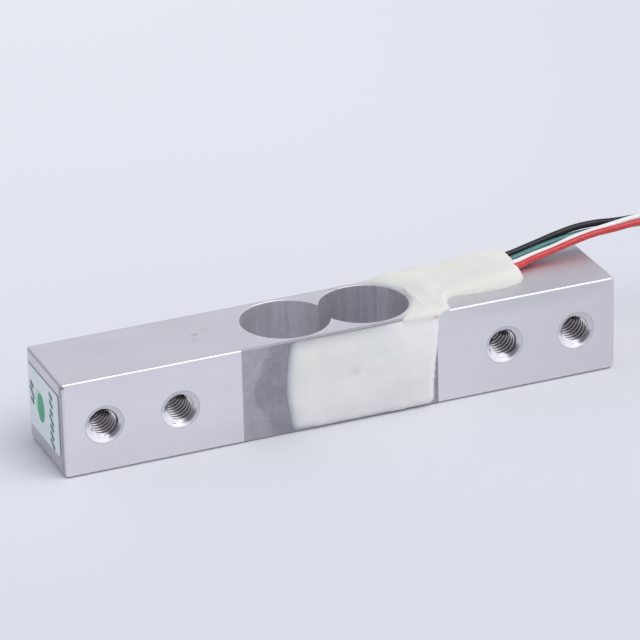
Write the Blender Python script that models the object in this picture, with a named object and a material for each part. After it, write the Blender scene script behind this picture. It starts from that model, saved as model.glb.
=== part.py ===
"""Micro load cell: a square aluminium bar with a double bore, foil gauges under silicone and four loose leads.

The bar lies along X. Its double bore runs up through it, and its threaded holes open to -Y and +Y.
The origin is the middle of the bar's underside, +Z is up, and lengths are in metres.
"""

import math

import bmesh
import bpy
from mathutils import Vector

MM = 0.001

# Bar
BAR_LENGTH = 75.0 * MM
BAR_WIDTH = 12.7 * MM
BAR_HEIGHT = 12.7 * MM
LONG_EDGE_FILLET = 0.3 * MM
END_EDGE_FILLET = 0.5 * MM
FILLET_SEGMENTS = 3

# Double bore through the bar, along Z: the thin walls beside it are what bends under load
BORE_WALL = 0.6 * MM
BORE_NECK = 4.2 * MM
BORE_CHAMFER = 0.1 * MM
BORE_SEGMENTS = 64

# Threaded holes through the bar, along Y, two at each end
HOLE_RADIUS = 1.75 * MM
HOLE_MOUTH_RADIUS = 2.45 * MM
HOLE_END_DISTANCE = 5.5 * MM
HOLE_PITCH = 10.0 * MM
HOLE_SEGMENTS = 32

# Sticker on the left end face
LABEL_WIDTH = 10.6 * MM
LABEL_HEIGHT = 8.3 * MM
LABEL_RISE = 0.4 * MM
LABEL_THICKNESS = 0.1 * MM
LABEL_CORNER = 0.6 * MM

# Glue line under everything that is stuck to the bar, and the gap between a wire and what it lies on
BOND_GAP = 0.05 * MM
WIRE_GAP = 0.03 * MM

# Foil strain gauge: its own u runs towards the bar's middle, its v up
FILM_LENGTH = 5.6 * MM
FILM_HEIGHT = 4.2 * MM
FILM_THICKNESS = 0.06 * MM
FILM_SHIFT = 0.85 * MM
FOIL_THICKNESS = 0.03 * MM
GRID_LENGTH = 2.6 * MM
GRID_LINES = 8
GRID_PITCH = 0.36 * MM
GRID_LINE_WIDTH = 0.14 * MM
TAB_START = 1.75 * MM
TAB_LENGTH = 1.2 * MM
TAB_WIDTH = 1.1 * MM
TAB_OFFSET = 0.85 * MM
TAB_SHOULDER = 0.15 * MM

# Fine enamelled wires between the gauges and the solder board
FINE_WIRE_RADIUS = 0.1 * MM
FINE_WIRE_PITCH = 0.35 * MM
FINE_WIRE_BEND = 0.4 * MM
FINE_WIRE_DROP_INSET = 0.8 * MM
LANE_RIM_CLEARANCE = 0.6 * MM
LINK_END_INSET = 0.25 * MM

# Solder board on the top face, under the bead
BOARD_LENGTH = 6.2 * MM
BOARD_WIDTH = 6.0 * MM
BOARD_THICKNESS = 0.2 * MM
BOARD_LANE_CLEARANCE = 3.2 * MM
PAD_THICKNESS = 0.04 * MM
WIRE_PAD = (1.0 * MM, 0.6 * MM)
WIRE_PAD_PITCH = 0.85 * MM
WIRE_PAD_SHIFT = 0.25 * MM
LEAD_PAD = (2.0 * MM, 0.8 * MM)
PAD_MARGIN = 0.2 * MM

# Leads
LEAD_RADIUS = 0.44 * MM
LEAD_LANE_PITCH = 1.15 * MM
LEAD_FACE_DISTANCE = 3.525 * MM
LEAD_BOARD_GAP = 0.7 * MM
LEAD_RISE = 0.4 * MM
CORE_RADIUS = 0.2 * MM
CORE_GAP = 0.1 * MM
CORE_LENGTH = 2.2 * MM
LEAD_POINT_SPACING = 2.2 * MM

# Silicone over the gauges
COAT_COVER = 0.3 * MM
COAT_RIM = 0.12 * MM
COAT_EDGE_RADIUS = 0.6 * MM
COAT_BOTTOM_Z = 0.35 * MM
COAT_TOP_SETBACK = 0.05 * MM
COAT_LEFT_MARGIN = 0.6 * MM
COAT_LEFT_BOW = 0.7 * MM
COAT_RIGHT_MARGIN = 1.03 * MM
COAT_RIGHT_LEAN = 1.3 * MM
COAT_RIGHT_FLARE = 0.9 * MM
COAT_FLARE_HEIGHT = 1.5 * MM
COAT_TOP_BLEND = 1.8 * MM
POCKET_CLEARANCE = 0.08 * MM
POCKET_MARGIN = 0.2 * MM

# Silicone bead over the solder board
BEAD_LEFT_COVER = 0.7 * MM
BEAD_RIGHT_COVER = 0.4 * MM
BEAD_EDGE_RADIUS = 0.7 * MM
BEAD_LOBE_OVERHANG = 0.8 * MM
BEAD_LOBE_HALF = 2.1 * MM
BEAD_FRONT_INSET = 3.1 * MM
BEAD_REAR_OVERHANG = 0.15 * MM
BEAD_LEAD_GRIP = 4.5 * MM
BEAD_END_CURVE = 2.6 * MM
BEAD_SHOULDER = 1.4 * MM
BEAD_RIM_SETBACK = 0.03 * MM
BEAD_RIM_ANGLES = (80, 45, 10, -25)
BEAD_ROOM_CLEARANCE = 0.15 * MM

# Hank of the four leads, past the bead's end in line with the bar, with its tie
HANK_MIDDLE_X = 80.0 * MM
HANK_RUN_LENGTH = 17.5 * MM
HANK_INNER_RADIUS = 2.75 * MM
HANK_TURNS = 2
HANK_PITCH = 0.95 * MM
TIE_WIDTH = 2.4 * MM
TIE_THICKNESS = 0.3 * MM
TIE_GAP = 0.1 * MM
TIE_CORNER = 0.6 * MM
FLOOR_GAP = 0.02 * MM

# Bare tinned ends
TIP_RADIUS = 0.22 * MM
TIP_LENGTH = 4.0 * MM
TIP_GAP = 0.1 * MM

# Each lead's route from the bead to the hank, in millimetres, chosen by hand from the bottom of the bundle up
LEAD_ROUTES = {
    "red": [
        (25.0, 1.1, 13.2), (27.1, 1.15, 13.2), (30.2, 2.1, 13.45), (33.3, 2.65, 13.87), (36.4, 3.3, 14.15),
        (39.6, 3.85, 14.3), (42.7, 4.3, 14.45), (46.3, 4.45, 14.63), (50.0, 4.1, 14.6), (54.5, 2.9, 13.4),
        (58.5, 1.3, 10.9), (62.5, -0.3, 8.0), (66.5, -1.9, 5.9), (70.0, -3.1, 5.05),
    ],
    "white": [
        (25.0, 2.25, 13.2), (27.2, 2.3, 13.35), (30.4, 3.1, 13.72), (33.6, 3.68, 14.15), (36.8, 4.3, 14.55),
        (39.9, 4.6, 15.03), (42.9, 4.5, 15.43), (46.3, 4.4, 15.6), (50.2, 4.0, 15.58), (54.9, 2.8, 14.25),
        (59.05, 1.2, 11.72), (63.0, -0.4, 8.87), (66.8, -2.0, 6.85), (70.0, -3.1, 6.05),
    ],
    "green": [
        (25.0, 3.4, 13.2), (27.3, 3.4, 13.35), (30.6, 4.1, 13.6), (33.7, 4.7, 13.88), (36.8, 5.25, 14.07),
        (39.9, 5.4, 14.17), (43.0, 5.45, 14.2), (46.3, 5.4, 14.15), (50.0, 5.1, 14.1), (54.5, 3.9, 12.9),
        (58.5, 2.3, 10.4), (62.5, 0.7, 7.5), (66.5, -0.9, 5.6), (70.0, -2.1, 5.05),
    ],
    "black": [
        (25.0, 4.55, 13.2), (27.4, 4.5, 13.7), (31.6, 5.05, 14.35), (34.7, 5.55, 14.77), (37.9, 6.0, 15.02),
        (40.8, 5.95, 15.12), (43.6, 5.6, 15.17), (46.3, 5.4, 15.13), (50.2, 5.0, 15.08), (54.9, 3.8, 13.75),
        (59.05, 2.2, 11.22), (63.0, 0.6, 8.37), (66.8, -1.0, 6.5), (70.0, -2.1, 6.05),
    ],
}

# Each lead's tail from the hank to its bare end, in millimetres
TAIL_ROUTES = {
    "red": [(92.0, -4.75, 0.9), (94.5, -4.6, 0.65), (97.0, -3.9, 0.47), (101.0, -2.9, 0.46)],
    "green": [(92.0, -4.85, 1.85), (94.5, -5.15, 1.5), (97.0, -5.1, 0.8), (101.0, -4.5, 0.46)],
    "black": [(92.0, -4.95, 2.8), (94.5, -5.4, 2.5), (97.5, -6.1, 1.1), (101.0, -6.2, 0.46)],
    "white": [(92.0, -5.0, 3.75), (94.5, -5.75, 3.5), (97.5, -7.2, 1.6), (101.0, -7.8, 0.46)],
}

LEAD_COLOURS = {
    "red": (0.62, 0.03, 0.04),
    "white": (0.85, 0.85, 0.83),
    "green": (0.02, 0.2, 0.14),
    "black": (0.015, 0.015, 0.02),
}

# What follows from the driving dimensions
FRONT = -1
REAR = 1
LEAD_NAMES = list(LEAD_ROUTES)
BORE_RADIUS = BAR_WIDTH / 2 - BORE_WALL
BORE_MIDDLE_X = math.sqrt(BORE_RADIUS**2 - (BORE_NECK / 2) ** 2)
RIM_RADIUS = BORE_RADIUS + BORE_CHAMFER
GAUGE_MIDDLE_Z = BAR_HEIGHT / 2
FILM_END_X = BORE_MIDDLE_X + FILM_LENGTH / 2 - FILM_SHIFT
TAB_MIDDLE_X = BORE_MIDDLE_X - TAB_START - TAB_LENGTH / 2
FOIL_TOP = BOND_GAP + FILM_THICKNESS + FOIL_THICKNESS
FINE_WIRE_DEPTH = FOIL_TOP + WIRE_GAP + FINE_WIRE_RADIUS
FINE_WIRE_TOP = FINE_WIRE_DEPTH + FINE_WIRE_RADIUS
FIRST_LANE_X = BORE_MIDDLE_X + RIM_RADIUS + LANE_RIM_CLEARANCE
LAST_LANE_X = FIRST_LANE_X + 2 * FINE_WIRE_PITCH
DROP_X = FIRST_LANE_X - FINE_WIRE_DROP_INSET
POCKET_DEPTH = FINE_WIRE_TOP + POCKET_CLEARANCE
COAT_THICKNESS = POCKET_DEPTH + COAT_COVER
COAT_LEFT_X = -FILM_END_X - COAT_LEFT_MARGIN
COAT_RIGHT_X = DROP_X + COAT_RIGHT_MARGIN
PAD_TOP = BOND_GAP + BOARD_THICKNESS + PAD_THICKNESS
BOARD_LEFT_X = LAST_LANE_X + BOARD_LANE_CLEARANCE
BOARD_RIGHT_X = BOARD_LEFT_X + BOARD_LENGTH
LEAD_MIDDLE_Y = BAR_WIDTH / 2 - LEAD_FACE_DISTANCE
LEAD_LANES_WIDTH = LEAD_LANE_PITCH * (len(LEAD_NAMES) - 1) + 2 * LEAD_RADIUS
LEAD_START_X = BOARD_RIGHT_X + LEAD_BOARD_GAP
LEAD_BASE = BOND_GAP + WIRE_GAP / 2 + LEAD_RADIUS
BEAD_END_X = LEAD_START_X + BEAD_LEAD_GRIP
WIRE_ROOM = FINE_WIRE_TOP + BEAD_ROOM_CLEARANCE
PAD_ROOM = PAD_TOP + WIRE_GAP + 2 * FINE_WIRE_RADIUS + BEAD_ROOM_CLEARANCE
CORE_ROOM = PAD_TOP + WIRE_GAP + 2 * CORE_RADIUS + BEAD_ROOM_CLEARANCE
LEAD_ROOM = LEAD_BASE + LEAD_RADIUS + LEAD_RISE
BEAD_LEFT_HEIGHT = WIRE_ROOM + BEAD_LEFT_COVER
BEAD_RIGHT_HEIGHT = LEAD_ROOM + BEAD_RIGHT_COVER
HANK_BOTTOM_Z = FLOOR_GAP + TIE_THICKNESS + TIE_GAP
HANK_HEIGHT = 2 * LEAD_RADIUS + HANK_PITCH * (len(LEAD_NAMES) - 1)
HANK_RADIUS = HANK_INNER_RADIUS + HANK_PITCH * (HANK_TURNS - 0.25) + LEAD_RADIUS


def clear_scene():
    for item in list(bpy.data.objects):
        bpy.data.objects.remove(item)


def material(name, colour, roughness, metallic=0.0):
    made = bpy.data.materials.new(name)
    made.use_nodes = True
    shader = made.node_tree.nodes["Principled BSDF"]
    shader.inputs["Base Color"].default_value = (*colour, 1.0)
    shader.inputs["Roughness"].default_value = roughness
    shader.inputs["Metallic"].default_value = metallic
    made.diffuse_color = (*colour, 1.0)
    return made


def add_piece(name, bm, finish, smooth_below=35.0):
    """A new object from a finished bmesh, shaded smooth except at edges sharper than the given angle."""
    mesh = bpy.data.meshes.new(name)
    bm.to_mesh(mesh)
    bm.free()
    mesh.shade_smooth()
    mesh.set_sharp_from_angle(angle=math.radians(smooth_below))
    mesh.materials.append(finish)
    piece = bpy.data.objects.new(name, mesh)
    bpy.context.scene.collection.objects.link(piece)
    return piece


def add_cutter(name, bm, finish):
    cutter = add_piece(name, bm, finish)
    cutter.hide_render = True
    cutter.display_type = "WIRE"
    return cutter


def boolean(piece, tool, operation):
    modifier = piece.modifiers.new(tool.name, "BOOLEAN")
    modifier.operation = operation
    modifier.solver = "EXACT"
    modifier.object = tool


def box(bm, low, high):
    """A closed box between two corners."""
    made = bmesh.ops.create_cube(bm, size=1.0)["verts"]
    size = Vector(high) - Vector(low)
    bmesh.ops.scale(bm, vec=size, verts=made)
    bmesh.ops.translate(bm, vec=(Vector(low) + Vector(high)) / 2, verts=made)


def turned(bm, profile, segments, axis, centre):
    """A closed turned solid. The profile is (radius, height) from one end to the other along the axis."""
    across = Vector((0.0, 0.0, 1.0)) if axis == "Y" else Vector((0.0, 1.0, 0.0))
    along = Vector((0.0, 1.0, 0.0)) if axis == "Y" else Vector((0.0, 0.0, 1.0))
    rings = []
    for radius, height in profile:
        ring = []
        for k in range(segments):
            angle = 2 * math.pi * k / segments
            spot = Vector((math.cos(angle), 0.0, 0.0)) + across * math.sin(angle)
            ring.append(bm.verts.new(Vector(centre) + spot * radius + along * height))
        rings.append(ring)
    for low, high in zip(rings, rings[1:]):
        for k in range(segments):
            after = (k + 1) % segments
            bm.faces.new((low[k], low[after], high[after], high[k]))
    bm.faces.new(rings[0])
    bm.faces.new(rings[-1])
    bmesh.ops.recalc_face_normals(bm, faces=bm.faces)


def extruded(bm, outline, rise):
    """A closed solid from an outline of points in space, extruded by a vector."""
    base = bm.faces.new([bm.verts.new(point) for point in outline])
    moved = bmesh.ops.extrude_face_region(bm, geom=[base])["geom"]
    lifted = [item for item in moved if isinstance(item, bmesh.types.BMVert)]
    bmesh.ops.translate(bm, vec=rise, verts=lifted)
    bmesh.ops.recalc_face_normals(bm, faces=bm.faces)
    return lifted


def slopes(points, closed):
    """The tangent at each point, for a smooth curve through unevenly spaced points."""
    found = []
    last = len(points) - 1
    for k, point in enumerate(points):
        before = points[k - 1] if k > 0 or closed else None
        after = points[(k + 1) % len(points)] if k < last or closed else None
        if before is None or after is None:
            found.append((after - point).normalized() if before is None else (point - before).normalized())
            continue
        back, ahead = (point - before).length, (after - point).length
        found.append(((after - point) / ahead * back + (point - before) / back * ahead) / (back + ahead))
    return found


def smooth_curve(points, steps, closed=False):
    """Points along a smooth curve through the given ones, with so many steps in each stretch."""
    points = [Vector(point) for point in points]
    tangents = slopes(points, closed)
    stretches = len(points) if closed else len(points) - 1
    curve = []
    for k in range(stretches):
        start, end = points[k], points[(k + 1) % len(points)]
        out, into = tangents[k], tangents[(k + 1) % len(points)]
        reach = (end - start).length
        for step in range(steps):
            t = step / steps
            curve.append(
                start * (2 * t**3 - 3 * t**2 + 1)
                + out * reach * (t**3 - 2 * t**2 + t)
                + end * (3 * t**2 - 2 * t**3)
                + into * reach * (t**3 - t**2)
            )
    return curve if closed else [*curve, points[-1]]


def evenly_spaced(curve, spacing):
    """The curve's points thinned to about the given spacing, with both ends kept."""
    kept = [curve[0]]
    total = sum((b - a).length for a, b in zip(curve, curve[1:]))
    count = max(2, round(total / spacing))
    travelled = 0.0
    for a, b in zip(curve, curve[1:]):
        step = (b - a).length
        while len(kept) < count and travelled + step >= len(kept) * total / count:
            kept.append(a.lerp(b, (len(kept) * total / count - travelled) / step))
        travelled += step
    return [*kept[:count], curve[-1]]


def bent_wire(points, bend):
    """A path straight between the points, with each corner cut by a short arc."""
    points = [Vector(point) for point in points]
    path = [points[0]]
    for before, here, after in zip(points, points[1:], points[2:]):
        back, ahead = before - here, after - here
        start = here + back.normalized() * min(bend, back.length * 0.45)
        end = here + ahead.normalized() * min(bend, ahead.length * 0.45)
        path += [start, start * 0.25 + here * 0.5 + end * 0.25, end]
    return [*path, points[-1]]


def add_tube(name, points, radius, finish, resolution):
    """A round wire along the points, with closed ends."""
    line = bpy.data.curves.new(name, "CURVE")
    line.dimensions = "3D"
    line.bevel_depth = radius
    line.bevel_resolution = resolution
    line.use_fill_caps = True
    spline = line.splines.new("POLY")
    spline.points.add(len(points) - 1)
    for spot, point in zip(spline.points, points):
        spot.co = (*point, 1.0)
    line.materials.append(finish)
    tube = bpy.data.objects.new(name, line)
    bpy.context.scene.collection.objects.link(tube)
    return tube


def make_bar(finish):
    bm = bmesh.new()
    half = Vector((BAR_LENGTH / 2, BAR_WIDTH / 2, 0.0))
    box(bm, -half, half + Vector((0.0, 0.0, BAR_HEIGHT)))
    uprights = [e for e in bm.edges if abs(e.verts[0].co.z - e.verts[1].co.z) > BAR_HEIGHT / 2]
    bmesh.ops.bevel(
        bm, geom=uprights, offset=END_EDGE_FILLET, segments=FILLET_SEGMENTS, profile=0.5, affect="EDGES"
    )
    loops = [e for e in bm.edges if e.calc_face_angle() > math.radians(60.0)]
    bmesh.ops.bevel(
        bm, geom=loops, offset=LONG_EDGE_FILLET, segments=FILLET_SEGMENTS, profile=0.5, affect="EDGES"
    )
    bar = add_piece("beam", bm, finish)
    for x in (-BORE_MIDDLE_X, BORE_MIDDLE_X):
        boolean(bar, bore_cutter(x, finish), "DIFFERENCE")
    first = BAR_LENGTH / 2 - HOLE_END_DISTANCE
    for end in (-1, 1):
        for x in (end * first, end * (first - HOLE_PITCH)):
            boolean(bar, hole_cutter(x, finish), "DIFFERENCE")
    return bar


def bore_cutter(x, finish):
    """One bore of the pair, with a small chamfer at both mouths."""
    past = BORE_CHAMFER
    profile = [
        (RIM_RADIUS + past, -past),
        (BORE_RADIUS, BORE_CHAMFER),
        (BORE_RADIUS, BAR_HEIGHT - BORE_CHAMFER),
        (RIM_RADIUS + past, BAR_HEIGHT + past),
    ]
    bm = bmesh.new()
    turned(bm, profile, BORE_SEGMENTS, "Z", (x, 0.0, 0.0))
    return add_cutter(f"bore_cutter_{round(x / MM)}", bm, finish)


def hole_cutter(x, finish):
    """One threaded hole at its core size, countersunk at 45 degrees on both faces."""
    sink = HOLE_MOUTH_RADIUS - HOLE_RADIUS
    half = BAR_WIDTH / 2
    profile = [
        (HOLE_MOUTH_RADIUS + sink, -half - sink),
        (HOLE_RADIUS, -half + sink),
        (HOLE_RADIUS, half - sink),
        (HOLE_MOUTH_RADIUS + sink, half + sink),
    ]
    bm = bmesh.new()
    turned(bm, profile, HOLE_SEGMENTS, "Y", (x, 0.0, BAR_HEIGHT / 2))
    return add_cutter(f"hole_cutter_{round(x / MM)}", bm, finish)


def rounded_rectangle(width, height, corner, steps=4):
    """Points round a rectangle with arcs at its corners, centred on the origin."""
    points = []
    for k in range(4):
        right, top = ((1, 1), (-1, 1), (-1, -1), (1, -1))[k]
        middle = (right * (width / 2 - corner), top * (height / 2 - corner))
        for step in range(steps + 1):
            angle = math.pi / 2 * (k + step / steps)
            points.append((middle[0] + corner * math.cos(angle), middle[1] + corner * math.sin(angle)))
    return points


def make_label(finish):
    x = -BAR_LENGTH / 2 - BOND_GAP
    middle_z = BAR_HEIGHT / 2 + LABEL_RISE
    bm = bmesh.new()
    outline = [(x, y, middle_z + z) for y, z in rounded_rectangle(LABEL_WIDTH, LABEL_HEIGHT, LABEL_CORNER)]
    extruded(bm, outline, (-LABEL_THICKNESS, 0.0, 0.0))
    return add_piece("end_label", bm, finish)


def ribbon(path):
    """The outline of a flat strip along a path of (u, v, width), with square corners."""
    left, right = [], []
    for k, (u, v, width) in enumerate(path):
        here = Vector((u, v))
        into = (here - Vector(path[k - 1][:2])).normalized() if k else None
        out = (Vector(path[k + 1][:2]) - here).normalized() if k + 1 < len(path) else into
        into = into or out
        side = Vector((-(into + out).y, (into + out).x)).normalized()
        reach = width / 2 / max(side.dot(Vector((-into.y, into.x))), 0.5)
        left.append(here + side * reach)
        right.append(here - side * reach)
    return left + right[::-1]


def gauge_foil_path():
    """The foil's line from one solder tab, through the grid's folds, to the other tab."""
    lines = [(k - (GRID_LINES - 1) / 2) * GRID_PITCH for k in range(GRID_LINES)]
    turn = TAB_START - 2 * TAB_SHOULDER
    half = GRID_LENGTH / 2
    thin = GRID_LINE_WIDTH
    start = [
        (TAB_START + TAB_LENGTH, -TAB_OFFSET, TAB_WIDTH),
        (TAB_START, -TAB_OFFSET, TAB_WIDTH),
        (TAB_START - TAB_SHOULDER, -TAB_OFFSET, thin),
        (turn, -TAB_OFFSET, thin),
        (turn, lines[0], thin),
    ]
    folds = []
    for k, v in enumerate(lines):
        ends = (-half, half) if k % 2 else (half, -half)
        if k == 0:
            ends = ends[1:]
        if k == GRID_LINES - 1:
            ends = ends[:1]
        folds += [(u, v, thin) for u in ends]
    finish = [(u, -v, width) for u, v, width in reversed(start)]
    return start + folds + finish


def make_gauge(name, bore_x, side, film_finish):
    """A foil gauge on one face, over one bore's thinnest wall, with its tabs towards the bar's middle."""
    inward = -1.0 if bore_x > 0 else 1.0
    face = side * (BAR_WIDTH / 2 + BOND_GAP)

    def place(u, v, depth):
        return (bore_x + inward * u, face + side * depth, GAUGE_MIDDLE_Z + v)

    low, high = FILM_SHIFT - FILM_LENGTH / 2, FILM_SHIFT + FILM_LENGTH / 2
    half = FILM_HEIGHT / 2
    corners = [(low, -half), (high, -half), (high, half), (low, half)]
    bm = bmesh.new()
    extruded(bm, [place(u, v, 0.0) for u, v in corners], (0.0, side * FILM_THICKNESS, 0.0))
    gauge = add_piece(name, bm, film_finish)
    bm = bmesh.new()
    outline = [place(spot.x, spot.y, FILM_THICKNESS / 2) for spot in ribbon(gauge_foil_path())]
    extruded(bm, outline, (0.0, side * (FILM_THICKNESS / 2 + FOIL_THICKNESS), 0.0))
    boolean(gauge, add_cutter(f"{name}_foil", bm, film_finish), "UNION")
    return gauge


def wire_pad_y(k):
    """The middle of each fine wire's pad: three for the front face, then three for the rear."""
    return LEAD_MIDDLE_Y - WIRE_PAD_SHIFT + (k - 2.5) * WIRE_PAD_PITCH


def lead_y(k):
    """The lane of each lead where it lies on the bar, from the front."""
    return LEAD_MIDDLE_Y + (k - (len(LEAD_NAMES) - 1) / 2) * LEAD_LANE_PITCH


def make_board(finish):
    """The solder board, with a pad for each lead on its right and one for each fine wire on its left."""
    base = BAR_HEIGHT + BOND_GAP
    half = Vector((BOARD_LENGTH / 2, BOARD_WIDTH / 2, 0.0))
    middle = Vector((BOARD_LEFT_X + BOARD_LENGTH / 2, LEAD_MIDDLE_Y, base))
    bm = bmesh.new()
    box(bm, middle - half, middle + half + Vector((0.0, 0.0, BOARD_THICKNESS)))
    board = add_piece("terminal_board", bm, finish)
    bm = bmesh.new()
    wire_pad_x = BOARD_LEFT_X + PAD_MARGIN + WIRE_PAD[0] / 2
    lead_pad_x = BOARD_RIGHT_X - PAD_MARGIN - LEAD_PAD[0] / 2
    spots = [(wire_pad_x, wire_pad_y(k), WIRE_PAD) for k in range(6)]
    spots += [(lead_pad_x, lead_y(k), LEAD_PAD) for k in range(len(LEAD_NAMES))]
    for x, y, (length, width) in spots:
        low = (x - length / 2, y - width / 2, base + BOARD_THICKNESS / 2)
        high = (x + length / 2, y + width / 2, base + BOARD_THICKNESS + PAD_THICKNESS)
        box(bm, low, high)
    boolean(board, add_cutter("board_pads", bm, finish), "UNION")
    return board


def face_runs():
    """Where each fine wire runs on a gauged face, as (x, z) from the bar's edge to its solder tab."""
    tab_x = TAB_MIDDLE_X
    film_top = GAUGE_MIDDLE_Z + FILM_HEIGHT / 2
    film_bottom = GAUGE_MIDDLE_Z - FILM_HEIGHT / 2
    pitch = FINE_WIRE_PITCH
    drop = DROP_X
    upper = film_top + 3 * pitch
    return (
        [(drop - 2 * pitch, upper), (-tab_x, upper), (-tab_x, GAUGE_MIDDLE_Z + TAB_OFFSET)],
        [(drop - pitch, upper - pitch), (tab_x, upper - pitch), (tab_x, GAUGE_MIDDLE_Z + TAB_OFFSET)],
        [(drop, upper - 2 * pitch), (drop, film_bottom - pitch), (tab_x + pitch / 2, film_bottom - pitch),
         (tab_x + pitch / 2, GAUGE_MIDDLE_Z - TAB_OFFSET)],
    )


def make_fine_wires(finish):
    """Three wires to each gauged face, over the bar's edge, and the link between its two gauges."""
    start_x = BOARD_LEFT_X + PAD_MARGIN + WIRE_PAD[0] / 2
    top = BAR_HEIGHT + FINE_WIRE_DEPTH
    pad_z = BAR_HEIGHT + PAD_TOP + WIRE_GAP + FINE_WIRE_RADIUS
    bend = FINE_WIRE_BEND
    for side, face in ((FRONT, "front"), (REAR, "rear")):
        depth = side * (BAR_WIDTH / 2 + FINE_WIRE_DEPTH)
        for k, run in enumerate(face_runs()):
            lane = FIRST_LANE_X + k * FINE_WIRE_PITCH
            pad_y = wire_pad_y(2 - k if side == FRONT else 3 + k)
            route = [
                (start_x, pad_y, pad_z),
                (BOARD_LEFT_X - bend, pad_y, pad_z),
                (lane + 2 * bend, pad_y, top),
                (lane, pad_y + side * bend, top),
                (lane, depth, top),
                (lane, depth, BAR_HEIGHT - 2 * bend),
            ]
            route += [(x, depth, z) for x, z in run]
            add_tube(f"{face}_gauge_wire_{k + 1}", bent_wire(route, bend), FINE_WIRE_RADIUS, finish, 1)
        reach = TAB_MIDDLE_X - LINK_END_INSET
        low_z = GAUGE_MIDDLE_Z - TAB_OFFSET
        link = [(x, depth, low_z) for x in (-reach, 0.0, reach)]
        add_tube(f"{face}_link_wire", link, FINE_WIRE_RADIUS, finish, 1)


def coat_left(z):
    middle = BAR_HEIGHT / 2
    return COAT_LEFT_X + COAT_LEFT_BOW * ((z - middle) / middle) ** 2


def coat_right(z):
    lean = COAT_RIGHT_LEAN * (z / BAR_HEIGHT) ** 2
    flare = max(0.0, 1.0 - (BAR_HEIGHT - z) / COAT_FLARE_HEIGHT)
    return COAT_RIGHT_X + lean + COAT_RIGHT_FLARE * flare**2


def round_edge(distance, radius):
    """How far a rounded edge has risen, from 0 at the edge to 1, at a distance from it."""
    left = 1.0 - min(max(distance, 0.0) / radius, 1.0)
    return math.sqrt(1.0 - left * left)


def smooth_step(value, low, high):
    t = min(max((value - low) / (high - low), 0.0), 1.0)
    return t * t * (3.0 - 2.0 * t)


def coat_thickness(x, z):
    """Thickness of the coat at a point of the face: rounded at its rim, full where it meets the bead."""
    sides = round_edge(min(x - coat_left(z), coat_right(z) - x), COAT_EDGE_RADIUS)
    bottom = round_edge(z - COAT_BOTTOM_Z, COAT_EDGE_RADIUS)
    top = round_edge(BAR_HEIGHT - COAT_TOP_SETBACK - z, COAT_EDGE_RADIUS)
    wires_start = FIRST_LANE_X - POCKET_MARGIN - COAT_EDGE_RADIUS
    top += (1.0 - top) * smooth_step(x, wires_start - COAT_TOP_BLEND, wires_start)
    return COAT_RIM + (COAT_THICKNESS - COAT_RIM) * sides * bottom * top


def stations(length, edge, inner):
    """Distances across a pad: close together at both rounded edges, even between them."""
    rising = [edge * (1.0 - math.cos(math.pi / 2 * k / 3)) for k in range(4)]
    middle = [edge + (length - 2 * edge) * k / inner for k in range(1, inner)]
    return rising + middle + [length - step for step in reversed(rising)]


def make_coat(name, side, finish):
    """The silicone over one face's gauges, hollowed over the gauges and their wires."""
    face = side * (BAR_WIDTH / 2 + BOND_GAP)
    top = BAR_HEIGHT - COAT_TOP_SETBACK
    bm = bmesh.new()
    grid = []
    for rise in stations(top - COAT_BOTTOM_Z, COAT_EDGE_RADIUS, 8):
        z = COAT_BOTTOM_Z + rise
        left, right = coat_left(z), coat_right(z)
        row = []
        for across in stations(right - left, COAT_EDGE_RADIUS, 12):
            x = left + across
            row.append(bm.verts.new((x, face + side * coat_thickness(x, z), z)))
        grid.append(row)
    rim = grid[0] + [row[-1] for row in grid[1:-1]] + grid[-1][::-1] + [row[0] for row in grid[-2:0:-1]]
    back = [bm.verts.new((vert.co.x, face, vert.co.z)) for vert in rim]
    for low, high in zip(grid, grid[1:]):
        for k in range(len(low) - 1):
            bm.faces.new((low[k], low[k + 1], high[k + 1], high[k]))
    for k in range(len(rim)):
        after = (k + 1) % len(rim)
        bm.faces.new((rim[k], rim[after], back[after], back[k]))
    bm.faces.new(back)
    bmesh.ops.recalc_face_normals(bm, faces=bm.faces)
    coat = add_piece(name, bm, finish)
    boolean(coat, coat_pocket(name, side, finish), "DIFFERENCE")
    return coat


def coat_pocket(name, side, finish):
    """The room behind the coat: over the gauges, and up the edge where the fine wires come down."""
    near = side * (BAR_WIDTH / 2 - BOND_GAP)
    deep = side * (BAR_WIDTH / 2 + POCKET_DEPTH)
    low_y, high_y = min(near, deep), max(near, deep)
    margin = POCKET_MARGIN + FINE_WIRE_RADIUS
    gauge_top = GAUGE_MIDDLE_Z + FILM_HEIGHT / 2 + 3 * FINE_WIRE_PITCH + margin
    gauge_bottom = GAUGE_MIDDLE_Z - FILM_HEIGHT / 2 - FINE_WIRE_PITCH - margin
    lanes_left, lanes_right = FIRST_LANE_X - margin, LAST_LANE_X + margin
    film_left, drop_right = -FILM_END_X - POCKET_MARGIN, DROP_X + margin
    lanes_end = BAR_HEIGHT - 2 * FINE_WIRE_BEND
    steps = [
        (film_left, gauge_bottom),
        (drop_right, gauge_bottom),
        (drop_right, gauge_top - 2 * FINE_WIRE_PITCH - margin),
        (lanes_right, lanes_end),
        (lanes_right, BAR_HEIGHT),
        (lanes_left, BAR_HEIGHT),
        (lanes_left, lanes_end),
        (DROP_X - 2 * FINE_WIRE_PITCH - margin, gauge_top),
        (film_left, gauge_top),
    ]
    bm = bmesh.new()
    extruded(bm, [(x, low_y, z) for x, z in steps], (0.0, high_y - low_y, 0.0))
    return add_cutter(f"{name}_pocket", bm, finish)


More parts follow.
